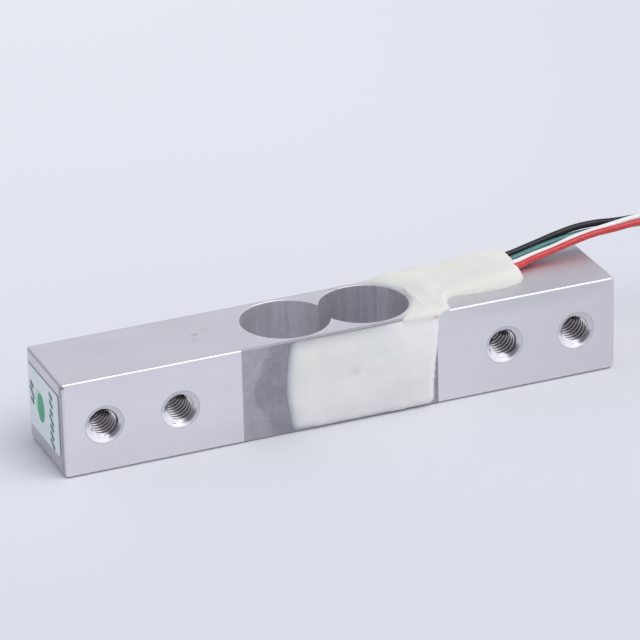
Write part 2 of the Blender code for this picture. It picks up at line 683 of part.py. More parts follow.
def bead_outline():
    """The bead's plan: round the right bore, out over both gauged faces' edges, and along to its blunt end."""
    face = BAR_WIDTH / 2
    lobe_x = (FIRST_LANE_X + LAST_LANE_X) / 2
    left, right = lobe_x - BEAD_LOBE_HALF, lobe_x + BEAD_LOBE_HALF
    lobe = face + BEAD_LOBE_OVERHANG
    lip = face + BEAD_LOBE_OVERHANG / 2
    front = BEAD_FRONT_INSET - face
    rear = face + BEAD_REAR_OVERHANG
    turn, step = BEAD_END_CURVE, BEAD_SHOULDER
    rim = []
    for angle in BEAD_RIM_ANGLES:
        aim = math.radians(angle)
        rim.append((BORE_MIDDLE_X + BORE_RADIUS * math.cos(aim), BORE_RADIUS * math.sin(aim)))
    points = [
        (BORE_MIDDLE_X - step, rear),
        *rim,
        (left, step - face),
        (left, -lip),
        (lobe_x, -lobe),
        (right, -lip),
        (right + step / 2, step - face),
        (right + step, front - step / 4),
        (right + 3 * step, front),
        (BEAD_END_X - turn, front),
        (BEAD_END_X - step / 2, front + step),
        (BEAD_END_X, front + 2 * turn),
        (BEAD_END_X - step / 2, rear - step / 2),
        (BEAD_END_X - turn, rear),
        (right + 3 * step, rear),
        (right, lip),
        (lobe_x, lobe),
        (left, lip),
    ]
    return smooth_curve([(x, y, BAR_HEIGHT + BOND_GAP) for x, y in points], 3, closed=True)


def make_bead(finish):
    """The silicone bead on the top face: its plan raised, rounded, sloped and hollowed over what it covers."""
    bm = bmesh.new()
    lifted = extruded(bm, bead_outline(), (0.0, 0.0, BEAD_LEFT_HEIGHT))
    top = [e for e in bm.edges if all(v in lifted for v in e.verts)]
    bmesh.ops.bevel(bm, geom=top, offset=BEAD_EDGE_RADIUS, segments=3, profile=0.5, affect="EDGES")
    low_x, high_x = BORE_MIDDLE_X + BORE_RADIUS, BEAD_END_X
    base = BAR_HEIGHT + BOND_GAP
    for vert in bm.verts:
        along = (vert.co.x - low_x) / (high_x - low_x)
        height = BEAD_LEFT_HEIGHT + (BEAD_RIGHT_HEIGHT - BEAD_LEFT_HEIGHT) * along
        vert.co.z = base + (vert.co.z - base) * height / BEAD_LEFT_HEIGHT
    bead = add_piece("wire_bead", bm, finish, 60.0)
    bm = bmesh.new()
    radius = RIM_RADIUS + BEAD_RIM_SETBACK
    turned(bm, [(radius, 0.0), (radius, 2 * BAR_HEIGHT)], BORE_SEGMENTS, "Z", (BORE_MIDDLE_X, 0.0, 0.0))
    boolean(bead, add_cutter("bead_rim_cutter", bm, finish), "DIFFERENCE")
    boolean(bead, bead_chamber(finish), "DIFFERENCE")
    return bead


def bead_chamber(finish):
    """The room inside the bead: over the fine wires, over the solder board, and along the leads."""
    margin = POCKET_MARGIN + FINE_WIRE_RADIUS
    left, right = FIRST_LANE_X - margin, LAST_LANE_X + margin
    wires_reach = BAR_WIDTH / 2 + POCKET_DEPTH
    board_half = BOARD_WIDTH / 2 + POCKET_MARGIN
    lead_half = LEAD_LANES_WIDTH / 2 + BEAD_ROOM_CLEARANCE
    rooms = (
        (left, right + FINE_WIRE_BEND, -wires_reach, wires_reach, WIRE_ROOM),
        (left, BOARD_LEFT_X, LEAD_MIDDLE_Y - board_half, LEAD_MIDDLE_Y + board_half, PAD_ROOM),
        (BOARD_LEFT_X - margin, LEAD_START_X, LEAD_MIDDLE_Y - board_half, LEAD_MIDDLE_Y + board_half, CORE_ROOM),
        (LEAD_START_X - margin, 2 * BEAD_END_X, LEAD_MIDDLE_Y - lead_half, LEAD_MIDDLE_Y + lead_half, LEAD_ROOM),
    )
    chamber = None
    for k, (low_x, high_x, low_y, high_y, room) in enumerate(rooms):
        bm = bmesh.new()
        box(bm, (low_x, low_y, BAR_HEIGHT - BOND_GAP), (high_x, high_y, BAR_HEIGHT + room))
        step = add_cutter(f"bead_room_{k + 1}", bm, finish)
        if chamber is None:
            chamber = step
        else:
            boolean(chamber, step, "UNION")
    return chamber


def make_leads(finishes, core_finish):
    """Each lead from its solder pad, out of the bead and over to the hank, its tail and its bare tip."""
    core_z = BAR_HEIGHT + PAD_TOP + WIRE_GAP + CORE_RADIUS
    for k, name in enumerate(LEAD_NAMES):
        y = lead_y(k)
        core_end = LEAD_START_X - CORE_GAP
        core = [(core_end - CORE_LENGTH, y, core_z), (core_end, y, core_z)]
        add_tube(f"{name}_lead_core", core, CORE_RADIUS, core_finish, 2)
        route = [(LEAD_START_X, y, BAR_HEIGHT + LEAD_BASE)]
        route += [Vector(point) * MM for point in LEAD_ROUTES[name]]
        points = evenly_spaced(smooth_curve(route, 12), LEAD_POINT_SPACING)
        add_tube(f"{name}_lead", points, LEAD_RADIUS, finishes[name], 2)
        tail = smooth_curve([Vector(point) * MM for point in TAIL_ROUTES[name]], 12)
        add_tube(f"{name}_lead_tail", evenly_spaced(tail, LEAD_POINT_SPACING), LEAD_RADIUS, finishes[name], 2)
        onward = (tail[-1] - tail[-2]).normalized()
        onward.z = 0.0
        start = tail[-1] + onward * TIP_GAP
        add_tube(f"{name}_lead_tip", [start, start + onward * TIP_LENGTH], TIP_RADIUS, core_finish, 2)


def make_hank(finish, tie_finish):
    """The leads' folded hank, as the solid of its outer shape, and the band that ties it."""
    steps = 10
    half_run = HANK_RUN_LENGTH / 2
    outline = []
    for end in (1, -1):
        for step in range(steps + 1):
            angle = math.pi * step / steps - math.pi / 2
            x = HANK_MIDDLE_X + end * (half_run + HANK_RADIUS * math.cos(angle))
            outline.append((x, end * HANK_RADIUS * math.sin(angle), HANK_BOTTOM_Z))
    bm = bmesh.new()
    extruded(bm, outline, (0.0, 0.0, HANK_HEIGHT))
    rims = [e for e in bm.edges if e.calc_face_angle() > math.radians(60.0)]
    bmesh.ops.bevel(bm, geom=rims, offset=LEAD_RADIUS, segments=2, profile=0.5, affect="EDGES")
    add_piece("lead_hank", bm, finish)

    bm = bmesh.new()
    inner = (2 * (HANK_RADIUS + TIE_GAP), HANK_HEIGHT + 2 * TIE_GAP)
    outer = (inner[0] + 2 * TIE_THICKNESS, inner[1] + 2 * TIE_THICKNESS)
    middle_z = HANK_BOTTOM_Z + HANK_HEIGHT / 2
    loops = []
    for x in (HANK_MIDDLE_X - TIE_WIDTH / 2, HANK_MIDDLE_X + TIE_WIDTH / 2):
        for width, height, corner in ((*outer, TIE_CORNER + TIE_THICKNESS), (*inner, TIE_CORNER)):
            spots = rounded_rectangle(width, height, corner)
            loops.append([bm.verts.new((x, y, middle_z + z)) for y, z in spots])
    count = len(loops[0])
    for first, second in ((0, 2), (2, 3), (3, 1), (1, 0)):
        for k in range(count):
            after = (k + 1) % count
            bm.faces.new((loops[first][k], loops[first][after], loops[second][after], loops[second][k]))
    bmesh.ops.recalc_face_normals(bm, faces=bm.faces)
    add_piece("hank_tie", bm, tie_finish)


def make_load_cell():
    clear_scene()
    aluminium = material("satin_aluminium", (0.6, 0.6, 0.63), 0.42, 1.0)
    paper = material("label_paper", (0.82, 0.86, 0.84), 0.7)
    film = material("gauge_film", (0.55, 0.28, 0.06), 0.35)
    laminate = material("board_laminate", (0.04, 0.2, 0.08), 0.5)
    enamel = material("enamelled_copper", (0.45, 0.1, 0.06), 0.3, 0.6)
    tinned = material("tinned_copper", (0.62, 0.62, 0.6), 0.35, 1.0)
    coat = material("white_silicone", (0.72, 0.74, 0.72), 0.45)
    bead = material("ivory_silicone", (0.8, 0.78, 0.7), 0.5)
    band = material("tie_band", (0.03, 0.03, 0.035), 0.5)
    jackets = {name: material(f"{name}_jacket", LEAD_COLOURS[name], 0.35) for name in LEAD_NAMES}

    make_bar(aluminium)
    make_label(paper)
    for side, face in ((FRONT, "front"), (REAR, "rear")):
        for x, place in ((-BORE_MIDDLE_X, "left"), (BORE_MIDDLE_X, "right")):
            make_gauge(f"{face}_gauge_{place}", x, side, film)
        make_coat(f"{face}_coat", side, coat)
    make_board(laminate)
    make_fine_wires(enamel)
    make_bead(bead)
    make_leads(jackets, tinned)
    make_hank(jackets["black"], band)


make_load_cell()
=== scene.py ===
"""Finish of the micro load cell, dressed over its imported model.

Lengths are metres in the part's own frame. The bar lies along X, its double bore runs up through it along Z,
and its threads run along Y. The origin is the middle of the bar's underside.
"""

import math

import bmesh
import bpy
import numpy as np
from mathutils import Matrix, Quaternion, Vector, geometry, kdtree, noise


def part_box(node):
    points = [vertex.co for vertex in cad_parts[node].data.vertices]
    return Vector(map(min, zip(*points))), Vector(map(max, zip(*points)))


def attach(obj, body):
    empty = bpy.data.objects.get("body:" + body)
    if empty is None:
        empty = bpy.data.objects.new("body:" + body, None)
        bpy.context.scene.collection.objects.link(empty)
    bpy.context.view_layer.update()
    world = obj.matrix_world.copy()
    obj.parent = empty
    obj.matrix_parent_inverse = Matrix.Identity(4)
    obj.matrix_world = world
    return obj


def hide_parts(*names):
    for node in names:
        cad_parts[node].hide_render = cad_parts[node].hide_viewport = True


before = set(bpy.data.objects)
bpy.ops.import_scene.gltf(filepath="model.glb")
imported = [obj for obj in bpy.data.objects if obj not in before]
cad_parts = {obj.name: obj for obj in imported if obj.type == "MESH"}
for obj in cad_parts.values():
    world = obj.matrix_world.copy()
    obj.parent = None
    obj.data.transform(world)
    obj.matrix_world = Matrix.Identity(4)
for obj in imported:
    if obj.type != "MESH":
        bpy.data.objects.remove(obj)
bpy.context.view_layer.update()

MM = 0.001

# Camera, at the photograph's viewing angle
CAMERA_PLACE = Vector((-188.9, -469.2, 245.2)) * MM
CAMERA_AIM = Vector((3.65, 10.61, 6.35)) * MM
CAMERA_ROLL = math.radians(-1.484)
CAMERA_LENS = 248.8
CAMERA_SENSOR = 36.0

# Bar
BAR_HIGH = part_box("beam")[1]
HALF_LENGTH = BAR_HIGH.x
HALF_WIDTH = BAR_HIGH.y
HEIGHT = BAR_HIGH.z
LONG_EDGE_RADIUS = 0.24 * MM
UPRIGHT_EDGE_RADIUS = 0.5 * MM
TOP_END_RADIUS = 0.35 * MM
LEFT_FOOT_RADIUS = 0.9 * MM
RIGHT_FOOT_RADIUS = 1.15 * MM
EDGE_STEPS = 6
EDGE_ARC = LONG_EDGE_RADIUS * math.pi / 2
TOP_WIDTH = 2 * (HALF_WIDTH - LONG_EDGE_RADIUS)

# Double bore
BORE_WALL = 0.6 * MM
BORE_NECK = 4.2 * MM
BORE_CHAMFER = 0.05 * MM
BORE_STEPS = 96
BORE_RADIUS = HALF_WIDTH - BORE_WALL
BORE_MIDDLE = math.sqrt(BORE_RADIUS**2 - (BORE_NECK / 2) ** 2)
RIM_RADIUS = BORE_RADIUS + BORE_CHAMFER
CUT_OVER = 0.4 * MM

# Threads
THREAD_PITCH = 0.7 * MM
THREAD_MINOR = 1.6 * MM
THREAD_MAJOR = 2.04 * MM
THREAD_TURNS = 22
THREAD_SIDES = 72
THREAD_ROWS = 8
THREAD_WELD = 0.0005 * MM
THREAD_HAIR = 0.005
MOUTH_RADIUS = 2.42 * MM
MOUTH_SLOPE = 1.8
MOUTH_LIP = 0.14 * MM
LIP_SLOPE = 3.0
WIDEST_RADIUS = MOUTH_RADIUS + 1.0 * MM
THREAD_SEED = 4
HOLE_END_DISTANCE = 5.5 * MM
HOLE_SPACING = 10.0 * MM
HOLE_STARTS = (-HALF_LENGTH + HOLE_END_DISTANCE, -HALF_LENGTH + HOLE_END_DISTANCE + HOLE_SPACING)
HOLE_PLACES = (*HOLE_STARTS, -HOLE_STARTS[1], -HOLE_STARTS[0])
PAIR_MIDDLE = HALF_LENGTH - HOLE_END_DISTANCE - HOLE_SPACING / 2

# Sanded band on the two gauged faces
SANDED_LEFT = -13.75 * MM
SANDED_RIGHT = 12.75 * MM

# Silicone, in millimetres: points on the long faces as x and height, on the top face as x and y
SKIN_SPACING = 0.17 * MM
OUTLINE_SPACING = SKIN_SPACING * 0.8
EDGE_SAMPLING = 0.12 * MM
SKIN_SINK = 0.02 * MM
SEAM_GAP = 0.012 * MM
RIM_SETBACK = 0.03 * MM
LOOP_STEPS = 12
FOLD_STEPS = 6
COAT_FREE_EDGE = [
    (8.0, 12.5), (7.0, 12.43), (5.0, 12.4), (2.0, 12.41), (-1.5, 12.43), (-4.5, 12.42), (-6.3, 12.46),
    (-6.95, 12.2), (-7.3, 11.3), (-7.6, 9.5), (-7.85, 7.0), (-7.8, 4.7), (-7.45, 2.5), (-7.25, 1.1),
    (-6.8, 0.42), (-4.5, 0.27), (-1.0, 0.25), (3.0, 0.22), (7.0, 0.26), (10.0, 0.24), (11.6, 0.28),
    (12.1, 0.8), (12.2, 2.7), (12.42, 5.5), (12.7, 7.5), (12.95, 9.5), (13.08, 10.9), (13.0, 11.7),
]
COAT_SEAM = [
    (13.0, 11.7), (12.75, 12.05), (12.2, 12.42), (11.7, 12.2), (11.2, 11.9), (10.0, 12.0), (9.1, 12.15),
    (8.0, 12.5),
]
LOBE_EDGE = [(13.35, 11.95), (13.64, 12.23)]
BEAD_FRONT_EDGE = [
    (14.5, -6.32), (14.85, -5.6), (15.0, -4.7), (15.35, -3.7), (16.3, -3.1), (18.0, -3.35), (20.0, -3.6),
    (22.0, -3.65), (23.6, -3.55), (25.2, -3.1), (26.4, -2.2), (26.95, -1.4), (27.15, -0.5), (27.0, 0.35),
    (27.15, 1.2), (27.45, 1.75), (27.55, 2.8), (27.62, 4.0), (27.55, 4.9), (27.2, 5.6), (26.5, 6.05),
]
BEAD_REAR_EDGE = [(25.0, 12.5), (22.0, 12.28), (19.0, 12.4), (16.3, 12.15), (14.6, 11.8), (13.4, 11.4)]
REAR_COAT_EDGE = [
    (12.9, 10.9), (12.7, 9.0), (12.45, 6.6), (12.2, 4.2), (12.1, 1.6), (11.7, 0.6), (9.0, 0.42), (5.0, 0.5),
    (0.5, 0.4), (-4.0, 0.46), (-6.7, 0.5), (-7.4, 1.3), (-7.7, 3.6), (-7.95, 6.2), (-7.7, 8.8), (-7.4, 11.0),
    (-6.9, 12.1), (-5.6, 12.4), (-1.0, 12.38), (3.0, 12.4), (7.0, 12.38), (9.2, 12.4),
]
REAR_SEAM = [(9.2, 12.4), (10.3, 11.9), (11.4, 11.6), (12.3, 11.45), (12.9, 10.9)]
BACK_STRIP_EDGE = [(8.0, 12.5), (6.0, 12.46), (4.4, 12.55), (3.3, 12.62)]
BACK_STRIP_TIP = [(2.95, 5.95)]
RIM_ANGLES = (108, 96, 84, 70, 55, 40, 25, 10, -5, -20, -35, -48, -58)
LOBE_LEFT_EDGE = [(8.5, -5.55), (8.2, -6.02)]
ARCH = [(11.5, 11.95), (11.8, 12.3), (12.2, 12.42), (12.65, 12.25), (13.0, 11.75)]

# Heights of the silicone, and its cover over what lies under it
CREST_PLACES = np.array((2.0, 5.0, 7.5, 9.5, 12.0, 15.5, 18.0, 20.5, 24.0, 26.0, 28.0)) * MM
CREST_HEIGHTS = np.array((0.12, 0.22, 0.42, 0.85, 1.1, 0.85, 1.05, 1.5, 1.72, 1.55, 1.25)) * MM
RIM_CREST = 0.32 * MM
LEAD_FIRST_Y = 1.1
LEAD_STEP_Y = 1.15
LEAD_RIDGE = 0.14 * MM
LEAD_RIDGE_WIDTH = 0.33 * MM
FOLD_DEPTH = 0.5
FOLD_WIDTH = 0.22 * MM
FIXED_EDGE = 0.1 * MM
FIXED_SEAM = 0.08 * MM
RELAX_ROUNDS = 20
COVER = 0.1 * MM
COVER_NEAR = 0.15 * MM
COVER_FAR = 0.5 * MM
COVER_SAMPLING = 0.2 * MM

# Sticker on the left end, and its plain print: (y, z) places in millimetres
STICKER_LOW = (-5.35, 2.6)
STICKER_HIGH = (5.7, 10.9)
STICKER_THICKNESS = 0.09 * MM
STICKER_WAVE = 0.012 * MM
STICKER_GLUE = 0.04 * MM
STICKER_CORNER = 0.5 * MM
STICKER_SPACING = 0.3 * MM
DOT_MIDDLE = (1.15, 6.5)
DOT_HALF = (1.3, 1.95)
PALE_DOT_MIDDLE = (1.95, 6.95)
PALE_DOT_HALF = (1.35, 1.75)
DOT_SIDES = 48
DOT_SPACING = 0.25 * MM
INK_THICKNESS = 0.012 * MM
INK_GRAIN = 0.15 * MM
INK_RELIEF = 0.001 * MM
STROKE_LENGTH = 1.75 * MM
STROKE_WIDTH = 0.56 * MM
STROKE_COLUMNS = ((-2.8, 3.3, 1.08, 7), (4.35, 6.2, 1.1, 3))
STROKE_SEED = 6

# Leads: the route of each from the bead to the hank in millimetres
LEAD_RADIUS = 0.44 * MM
LEAD_ROUTES = {
    "red": [
        (25.0, 1.1, 13.2), (27.1, 1.15, 13.2), (30.2, 2.1, 13.42), (33.3, 2.65, 13.77), (36.4, 3.3, 14.14),
        (39.6, 3.85, 14.4), (42.7, 4.3, 14.35), (46.3, 4.45, 14.55), (50.0, 4.1, 14.55), (54.5, 2.9, 13.4),
        (58.5, 1.3, 10.9), (62.5, -0.3, 8.0), (66.5, -1.9, 5.9), (70.0, -3.1, 5.05),
    ],
    "white": [
        (25.0, 2.25, 13.2), (27.2, 2.25, 13.2), (30.4, 3.12, 13.37), (33.6, 3.7, 13.65), (36.8, 4.32, 14.13),
        (39.9, 4.85, 14.33), (42.9, 5.25, 14.5), (46.3, 5.4, 14.8), (50.2, 4.8, 15.15), (54.9, 2.8, 14.25),
        (59.05, 1.2, 11.72), (63.0, -0.4, 8.87), (66.8, -2.0, 6.85), (70.0, -3.1, 6.05),
    ],
    "green": [
        (25.0, 3.4, 13.2), (27.3, 3.4, 13.25), (30.6, 4.12, 13.56), (33.7, 4.72, 13.86), (36.8, 5.28, 14.0),
        (39.9, 5.8, 13.88), (43.0, 6.15, 13.5), (46.3, 6.6, 13.4), (50.0, 5.6, 13.45), (54.5, 3.9, 12.8),
        (58.5, 2.3, 10.4), (62.5, 0.7, 7.5), (66.5, -0.9, 5.6), (70.0, -2.1, 5.05),
    ],
    "black": [
        (25.0, 4.55, 13.2), (27.4, 4.5, 13.45), (31.6, 5.15, 14.0), (34.7, 5.6, 14.46), (37.9, 6.05, 14.75),
        (40.8, 6.1, 14.78), (43.6, 6.2, 14.5), (46.3, 6.35, 14.35), (50.2, 5.75, 14.5), (54.9, 3.85, 13.72),
        (59.05, 2.2, 11.22), (63.0, 0.6, 8.37), (66.8, -1.0, 6.5), (70.0, -2.1, 6.05),
    ],
}
DIVES = {
    "red": [(71.4, -2.9, 4.5), (73.2, -2.75, 3.25), (75.2, -2.75, 1.85), (77.2, -2.75, 1.05)],
    "green": [(71.6, -1.85, 4.85), (73.4, -1.95, 4.25), (75.4, -2.4, 3.15), (77.3, -2.73, 2.1)],
    "black": [(71.7, -2.0, 5.85), (73.5, -2.25, 5.3), (75.5, -2.6, 4.3), (77.4, -2.74, 3.12)],
    "white": [(71.8, -3.0, 6.05), (73.6, -3.0, 6.0), (75.6, -2.9, 5.35), (77.5, -2.77, 4.15)],
}
TAILS = {
    "red": [(94.5, -4.6, 0.65), (97.0, -3.9, 0.47), (101.0, -2.9, 0.46)],
    "green": [(94.5, -5.15, 1.5), (97.0, -5.1, 0.8), (101.0, -4.5, 0.46)],
    "black": [(94.5, -5.4, 2.5), (97.5, -6.1, 1.1), (101.0, -6.2, 0.46)],
    "white": [(94.5, -5.75, 3.5), (97.5, -7.2, 1.6), (101.0, -7.8, 0.46)],
}
LAYERS = ("red", "green", "black", "white")
HANK_MIDDLE = 80.0 * MM
HANK_HALF_RUN = 8.75 * MM
HANK_INNER_RADIUS = 2.75 * MM
HANK_PITCH = 0.95 * MM
HANK_TURNS = 2
HANK_FIRST_LAYER = 0.86 * MM
HANK_WAY_IN = (79.2 * MM, 82.5 * MM)
HANK_WAY_OUT = (HANK_MIDDLE - 3.0 * MM, HANK_MIDDLE + 4.0 * MM)
HANK_EXIT = 90.0 * MM
HANK_EXIT_SHIFT = 0.03 * MM
TURN_STEPS = 40
ROUTE_STEPS = 10
LEAD_SIDES = 16
LEAD_SPACING = 0.55 * MM

# Bare ends of the leads
STRAND_RADIUS = 0.085 * MM
STRAND_CIRCLE = 0.145 * MM
STRAND_COUNT = 6
STRAND_SIDES = 8
STRAND_POINTS = 28
STRAND_LAY = 5.0 * MM
TIP_LENGTH = 4.0 * MM

# Band round the hank
BAND_THICKNESS = 0.3 * MM
BAND_CORNER = 0.75 * MM
BAND_ROWS = 9
BAND_RIDGE = 0.05 * MM
BAND_RIDGE_SHARE = 0.12
BAND_INSET = 0.05 * MM

# Studio
FLOOR_REACH = 3.0
FLOOR_LEVEL = -0.02 * MM
LAMP_SIZE = (2.2, 1.8)
LAMP_POWER = 28.0
LAMP_PLACE = Vector((0.85, -1.05, 2.15))
LAMP_TONE = (1.0, 0.99, 0.98)
ROOM_TONE = (0.81, 0.835, 0.905, 1.0)
ROOM_LEVEL = 1.04


def set_camera():
    """Camera where the photograph was taken from, with its slight roll."""
    data = bpy.data.cameras.new("camera")
    data.lens = CAMERA_LENS
    data.sensor_width = CAMERA_SENSOR
    data.clip_start = 10 * MM
    data.clip_end = 20000 * MM
    camera = bpy.data.objects.new("camera", data)
    camera.location = CAMERA_PLACE
    aim = (CAMERA_AIM - CAMERA_PLACE).to_track_quat("-Z", "Y")
    camera.rotation_mode = "QUATERNION"
    camera.rotation_quaternion = aim @ Quaternion((0.0, 0.0, 1.0), CAMERA_ROLL)
    bpy.context.scene.collection.objects.link(camera)
    bpy.context.scene.camera = camera


# Node trees


def feed(tree, socket, value):
    """Links a socket or a field to an input, or sets the input's own value."""
    if isinstance(value, Field):
        value = value.socket
    if isinstance(value, bpy.types.NodeSocket):
        tree.links.new(value, socket)
    else:
        socket.default_value = value


def add_node(tree, kind, inputs=None, **settings):
    """A node of that kind with its settings, and its inputs by name or number."""
    made = tree.nodes.new(kind)
    for name, value in settings.items():
        setattr(made, name, value)
    for key, value in (inputs or {}).items():
        feed(tree, made.inputs[key], value)
    return made


def maths(tree, operation, *values, clamp=False):
    made = add_node(tree, "ShaderNodeMath", dict(enumerate(values)), operation=operation, use_clamp=clamp)
    return Field(tree, made.outputs[0])


class Field:
    """An output in a node tree. Arithmetic on it adds the maths nodes."""

    def __init__(self, tree, socket):
        self.tree = tree
        self.socket = socket

    def put(self, operation, *others, clamp=False):
        return maths(self.tree, operation, self, *others, clamp=clamp)

    def __add__(self, other):
        return self.put("ADD", other)

    def __sub__(self, other):
        return self.put("SUBTRACT", other)

    def __rsub__(self, other):
        return maths(self.tree, "SUBTRACT", other, self)

    def __mul__(self, other):
        return self.put("MULTIPLY", other)

    def __truediv__(self, other):
        return self.put("DIVIDE", other)

    def __mod__(self, other):
        return self.put("MODULO", other)

    def __pow__(self, other):
        return self.put("POWER", other)

    def __abs__(self):
        return self.put("ABSOLUTE")

    def __lt__(self, other):
        return self.put("LESS_THAN", other)

    def __gt__(self, other):
        return self.put("GREATER_THAN", other)

    def at_least(self, other):
        return self.put("MAXIMUM", other)

    def at_most(self, other):
        return self.put("MINIMUM", other)

    def ramp(self, low, high, to_low=0.0, to_high=1.0, smooth=True):
        """The value from low to high as a share of another range, held at its ends."""
        kind = "SMOOTHSTEP" if smooth else "LINEAR"
        inputs = {"Value": self, "From Min": low, "From Max": high, "To Min": to_low, "To Max": to_high}
        made = add_node(self.tree, "ShaderNodeMapRange", inputs, interpolation_type=kind)
        return Field(self.tree, made.outputs["Result"])

    def spread(self, to_low=0.0, to_high=1.0):
        """A noise, whose values lie mostly between 0.3 and 0.7, over another range."""
        return self.ramp(0.3, 0.7, to_low, to_high)

    def within(self, low, high, soft):
        """1 between low and high and 0 outside, with soft borders."""
        return self.ramp(low - soft, low + soft) * self.ramp(high - soft, high + soft, 1.0, 0.0)


def blend_colours(tree, share, first, second, mode="MIX"):
    """First colour where the share is 0, second where it is 1."""
    made = add_node(tree, "ShaderNodeMix", data_type="RGBA", blend_type=mode)
    for place, value in ((0, share), (6, first), (7, second)):
        feed(tree, made.inputs[place], (*value, 1.0) if isinstance(value, tuple) else value)
    return made.outputs[2]


class Finish:
    """A Principled material with the helpers that its pattern is put together with."""

    def __init__(self, name, colour, metallic=0.0, **sockets):
        self.material = bpy.data.materials.new(name)
        self.material.use_nodes = True
        self.tree = self.material.node_tree
        self.shader = self.tree.nodes["Principled BSDF"]
        self.shader.inputs["Metallic"].default_value = metallic
        for socket, value in sockets.items():
            self.shader.inputs[socket.replace("_", " ")].default_value = value
        self.place = add_node(self.tree, "ShaderNodeTexCoord").outputs["Object"]
        split = add_node(self.tree, "ShaderNodeSeparateXYZ", {0: self.place}).outputs
        self.axes = [Field(self.tree, socket) for socket in split]
        self.base = colour

    def mapped(self, scale, location):
        inputs = {"Vector": self.place, "Location": location, "Scale": scale}
        return add_node(self.tree, "ShaderNodeMapping", inputs).outputs[0]

    def noise(self, size, stretch=(1.0, 1.0, 1.0), detail=2.0, roughness=0.5, shift=0.0):
        """Noise from 0 to 1 with grains of about that size in metres, longer along an axis by its stretch."""
        moved = self.mapped(tuple(1.0 / (size * share) for share in stretch), (shift,) * 3)
        inputs = {"Vector": moved, "Scale": 1.0, "Detail": detail, "Roughness": roughness}
        return Field(self.tree, add_node(self.tree, "ShaderNodeTexNoise", inputs).outputs["Fac"])

    def spot(self, centre, radii, soft):
        """1 inside an ellipsoid round the centre, both in millimetres, fading out over its border."""
        radii = [radius * MM for radius in radii]
        location = tuple(-place * MM / radius for place, radius in zip(centre, radii))
        moved = self.mapped(tuple(1.0 / radius for radius in radii), location)
        reach = add_node(self.tree, "ShaderNodeVectorMath", {0: moved}, operation="LENGTH").outputs["Value"]
        return Field(self.tree, reach).ramp(1.0 - soft, 1.0 + soft, 1.0, 0.0)

    def mixed(self, share, first, second):
        return blend_colours(self.tree, share, first, second)

    def tint(self, share, colour):
        """Brings the base colour towards another one."""
        self.base = self.mixed(share, self.base, colour)

    def shade(self, factor):
        """Multiplies the base colour."""
        self.base = blend_colours(self.tree, 1.0, self.base, factor, "MULTIPLY")

    def done(self, roughness, *bumps):
        """The material with its roughness and its bumps, each a height and its full depth in metres."""
        feed(self.tree, self.shader.inputs["Base Color"], self.base)
        feed(self.tree, self.shader.inputs["Roughness"], roughness)
        target = self.shader.inputs["Normal"]
        for height, depth in reversed(bumps):
            inputs = {"Height": height, "Distance": depth, "Strength": 1.0}
            made = add_node(self.tree, "ShaderNodeBump", inputs)
            self.tree.links.new(made.outputs[0], target)
            target = made.inputs["Normal"]
        return self.material


# Finishes of the bar

LEFT, FRONT, TOP = -HALF_LENGTH / MM, -HALF_WIDTH / MM, HEIGHT / MM
EDGE_BORDER = 0.26 * MM
END_BORDER = 0.5 * MM
GRAIN_DEPTH = 0.0022 * MM
MARK_TONE = (0.3, 0.3, 0.33)

# Painted shade on the top face under the leads and beside the bead (the first two), and small marks: x and y,
# radii, softness, share and tone
TOP_SHADE_AND_MARKS = (
    ((30.0, -1.5), (10.5, 8.0, 2.0), 0.6, 0.6, (0.66, 0.625, 0.66)),
    ((21.0, -5.2), (7.0, 1.9, 2.0), 0.7, 0.5, (0.66, 0.64, 0.67)),
    ((-17.3, 0.55), (0.42, 0.3, 1.0), 0.7, 0.4, MARK_TONE),
    ((-17.75, -0.75), (0.22, 0.3, 1.0), 0.7, 0.25, MARK_TONE),
    ((-15.7, 1.6), (0.4, 0.45, 1.0), 0.7, 0.12, MARK_TONE),
)


def painted_edge_light_and_shade(finish):
    """Rounded edges: a painted highlight along the top front edge, painted light and shade round the ends,
    and painted shade at the left foot.
    """
    x, y, z = finish.axes
    along = abs(x)
    at_end = along > HALF_LENGTH - END_BORDER
    front_top = (y < 0.0) * (z > HEIGHT / 2) * (along < HALF_LENGTH - END_BORDER)
    # Painted highlight along the top front edge.
    finish.tint(front_top, (0.74, 0.73, 0.76))
    # Painted light and shade round each end: lighter a little inside it, darker at the end itself.
    turning = along.ramp(HALF_LENGTH - EDGE_BORDER, HALF_LENGTH - 0.1 * MM, 1.0, 0.0)
    finish.tint(at_end * turning, (0.76, 0.745, 0.78))
    # Painted shade at the front of the left foot.
    foot = z.ramp(0.8 * MM, 1.3 * MM, 1.0, 0.0) * y.ramp(-HALF_WIDTH + 0.4 * MM, -HALF_WIDTH + 0.9 * MM)
    finish.tint(at_end * (foot * (x < 0.0)), (0.6, 0.585, 0.62))


def face_shade_and_marks(finish):
    """Flat faces: painted shade, darker to the right on the front face; darker low on the left; and painted
    shade and small marks on the top face.
    """
    x, y, z = finish.axes
    # Painted shade: the front face darker towards the right.
    shade_to_the_right = x.ramp(2.0 * MM, HALF_LENGTH, smooth=False) * (y < -HALF_WIDTH + 0.02 * MM)
    finish.tint(shade_to_the_right * 0.55 + 0.1, (0.68, 0.665, 0.69))
    finish.tint(z.ramp(0.0, 6.0 * MM, 0.35, 0.0) * (x < 0.0), (0.73, 0.715, 0.74))
    # Painted shade under the leads and beside the bead, then small marks.
    for place, radii, soft, share, tone in TOP_SHADE_AND_MARKS:
        finish.tint(finish.spot((*place, TOP), radii, soft) * share, tone)


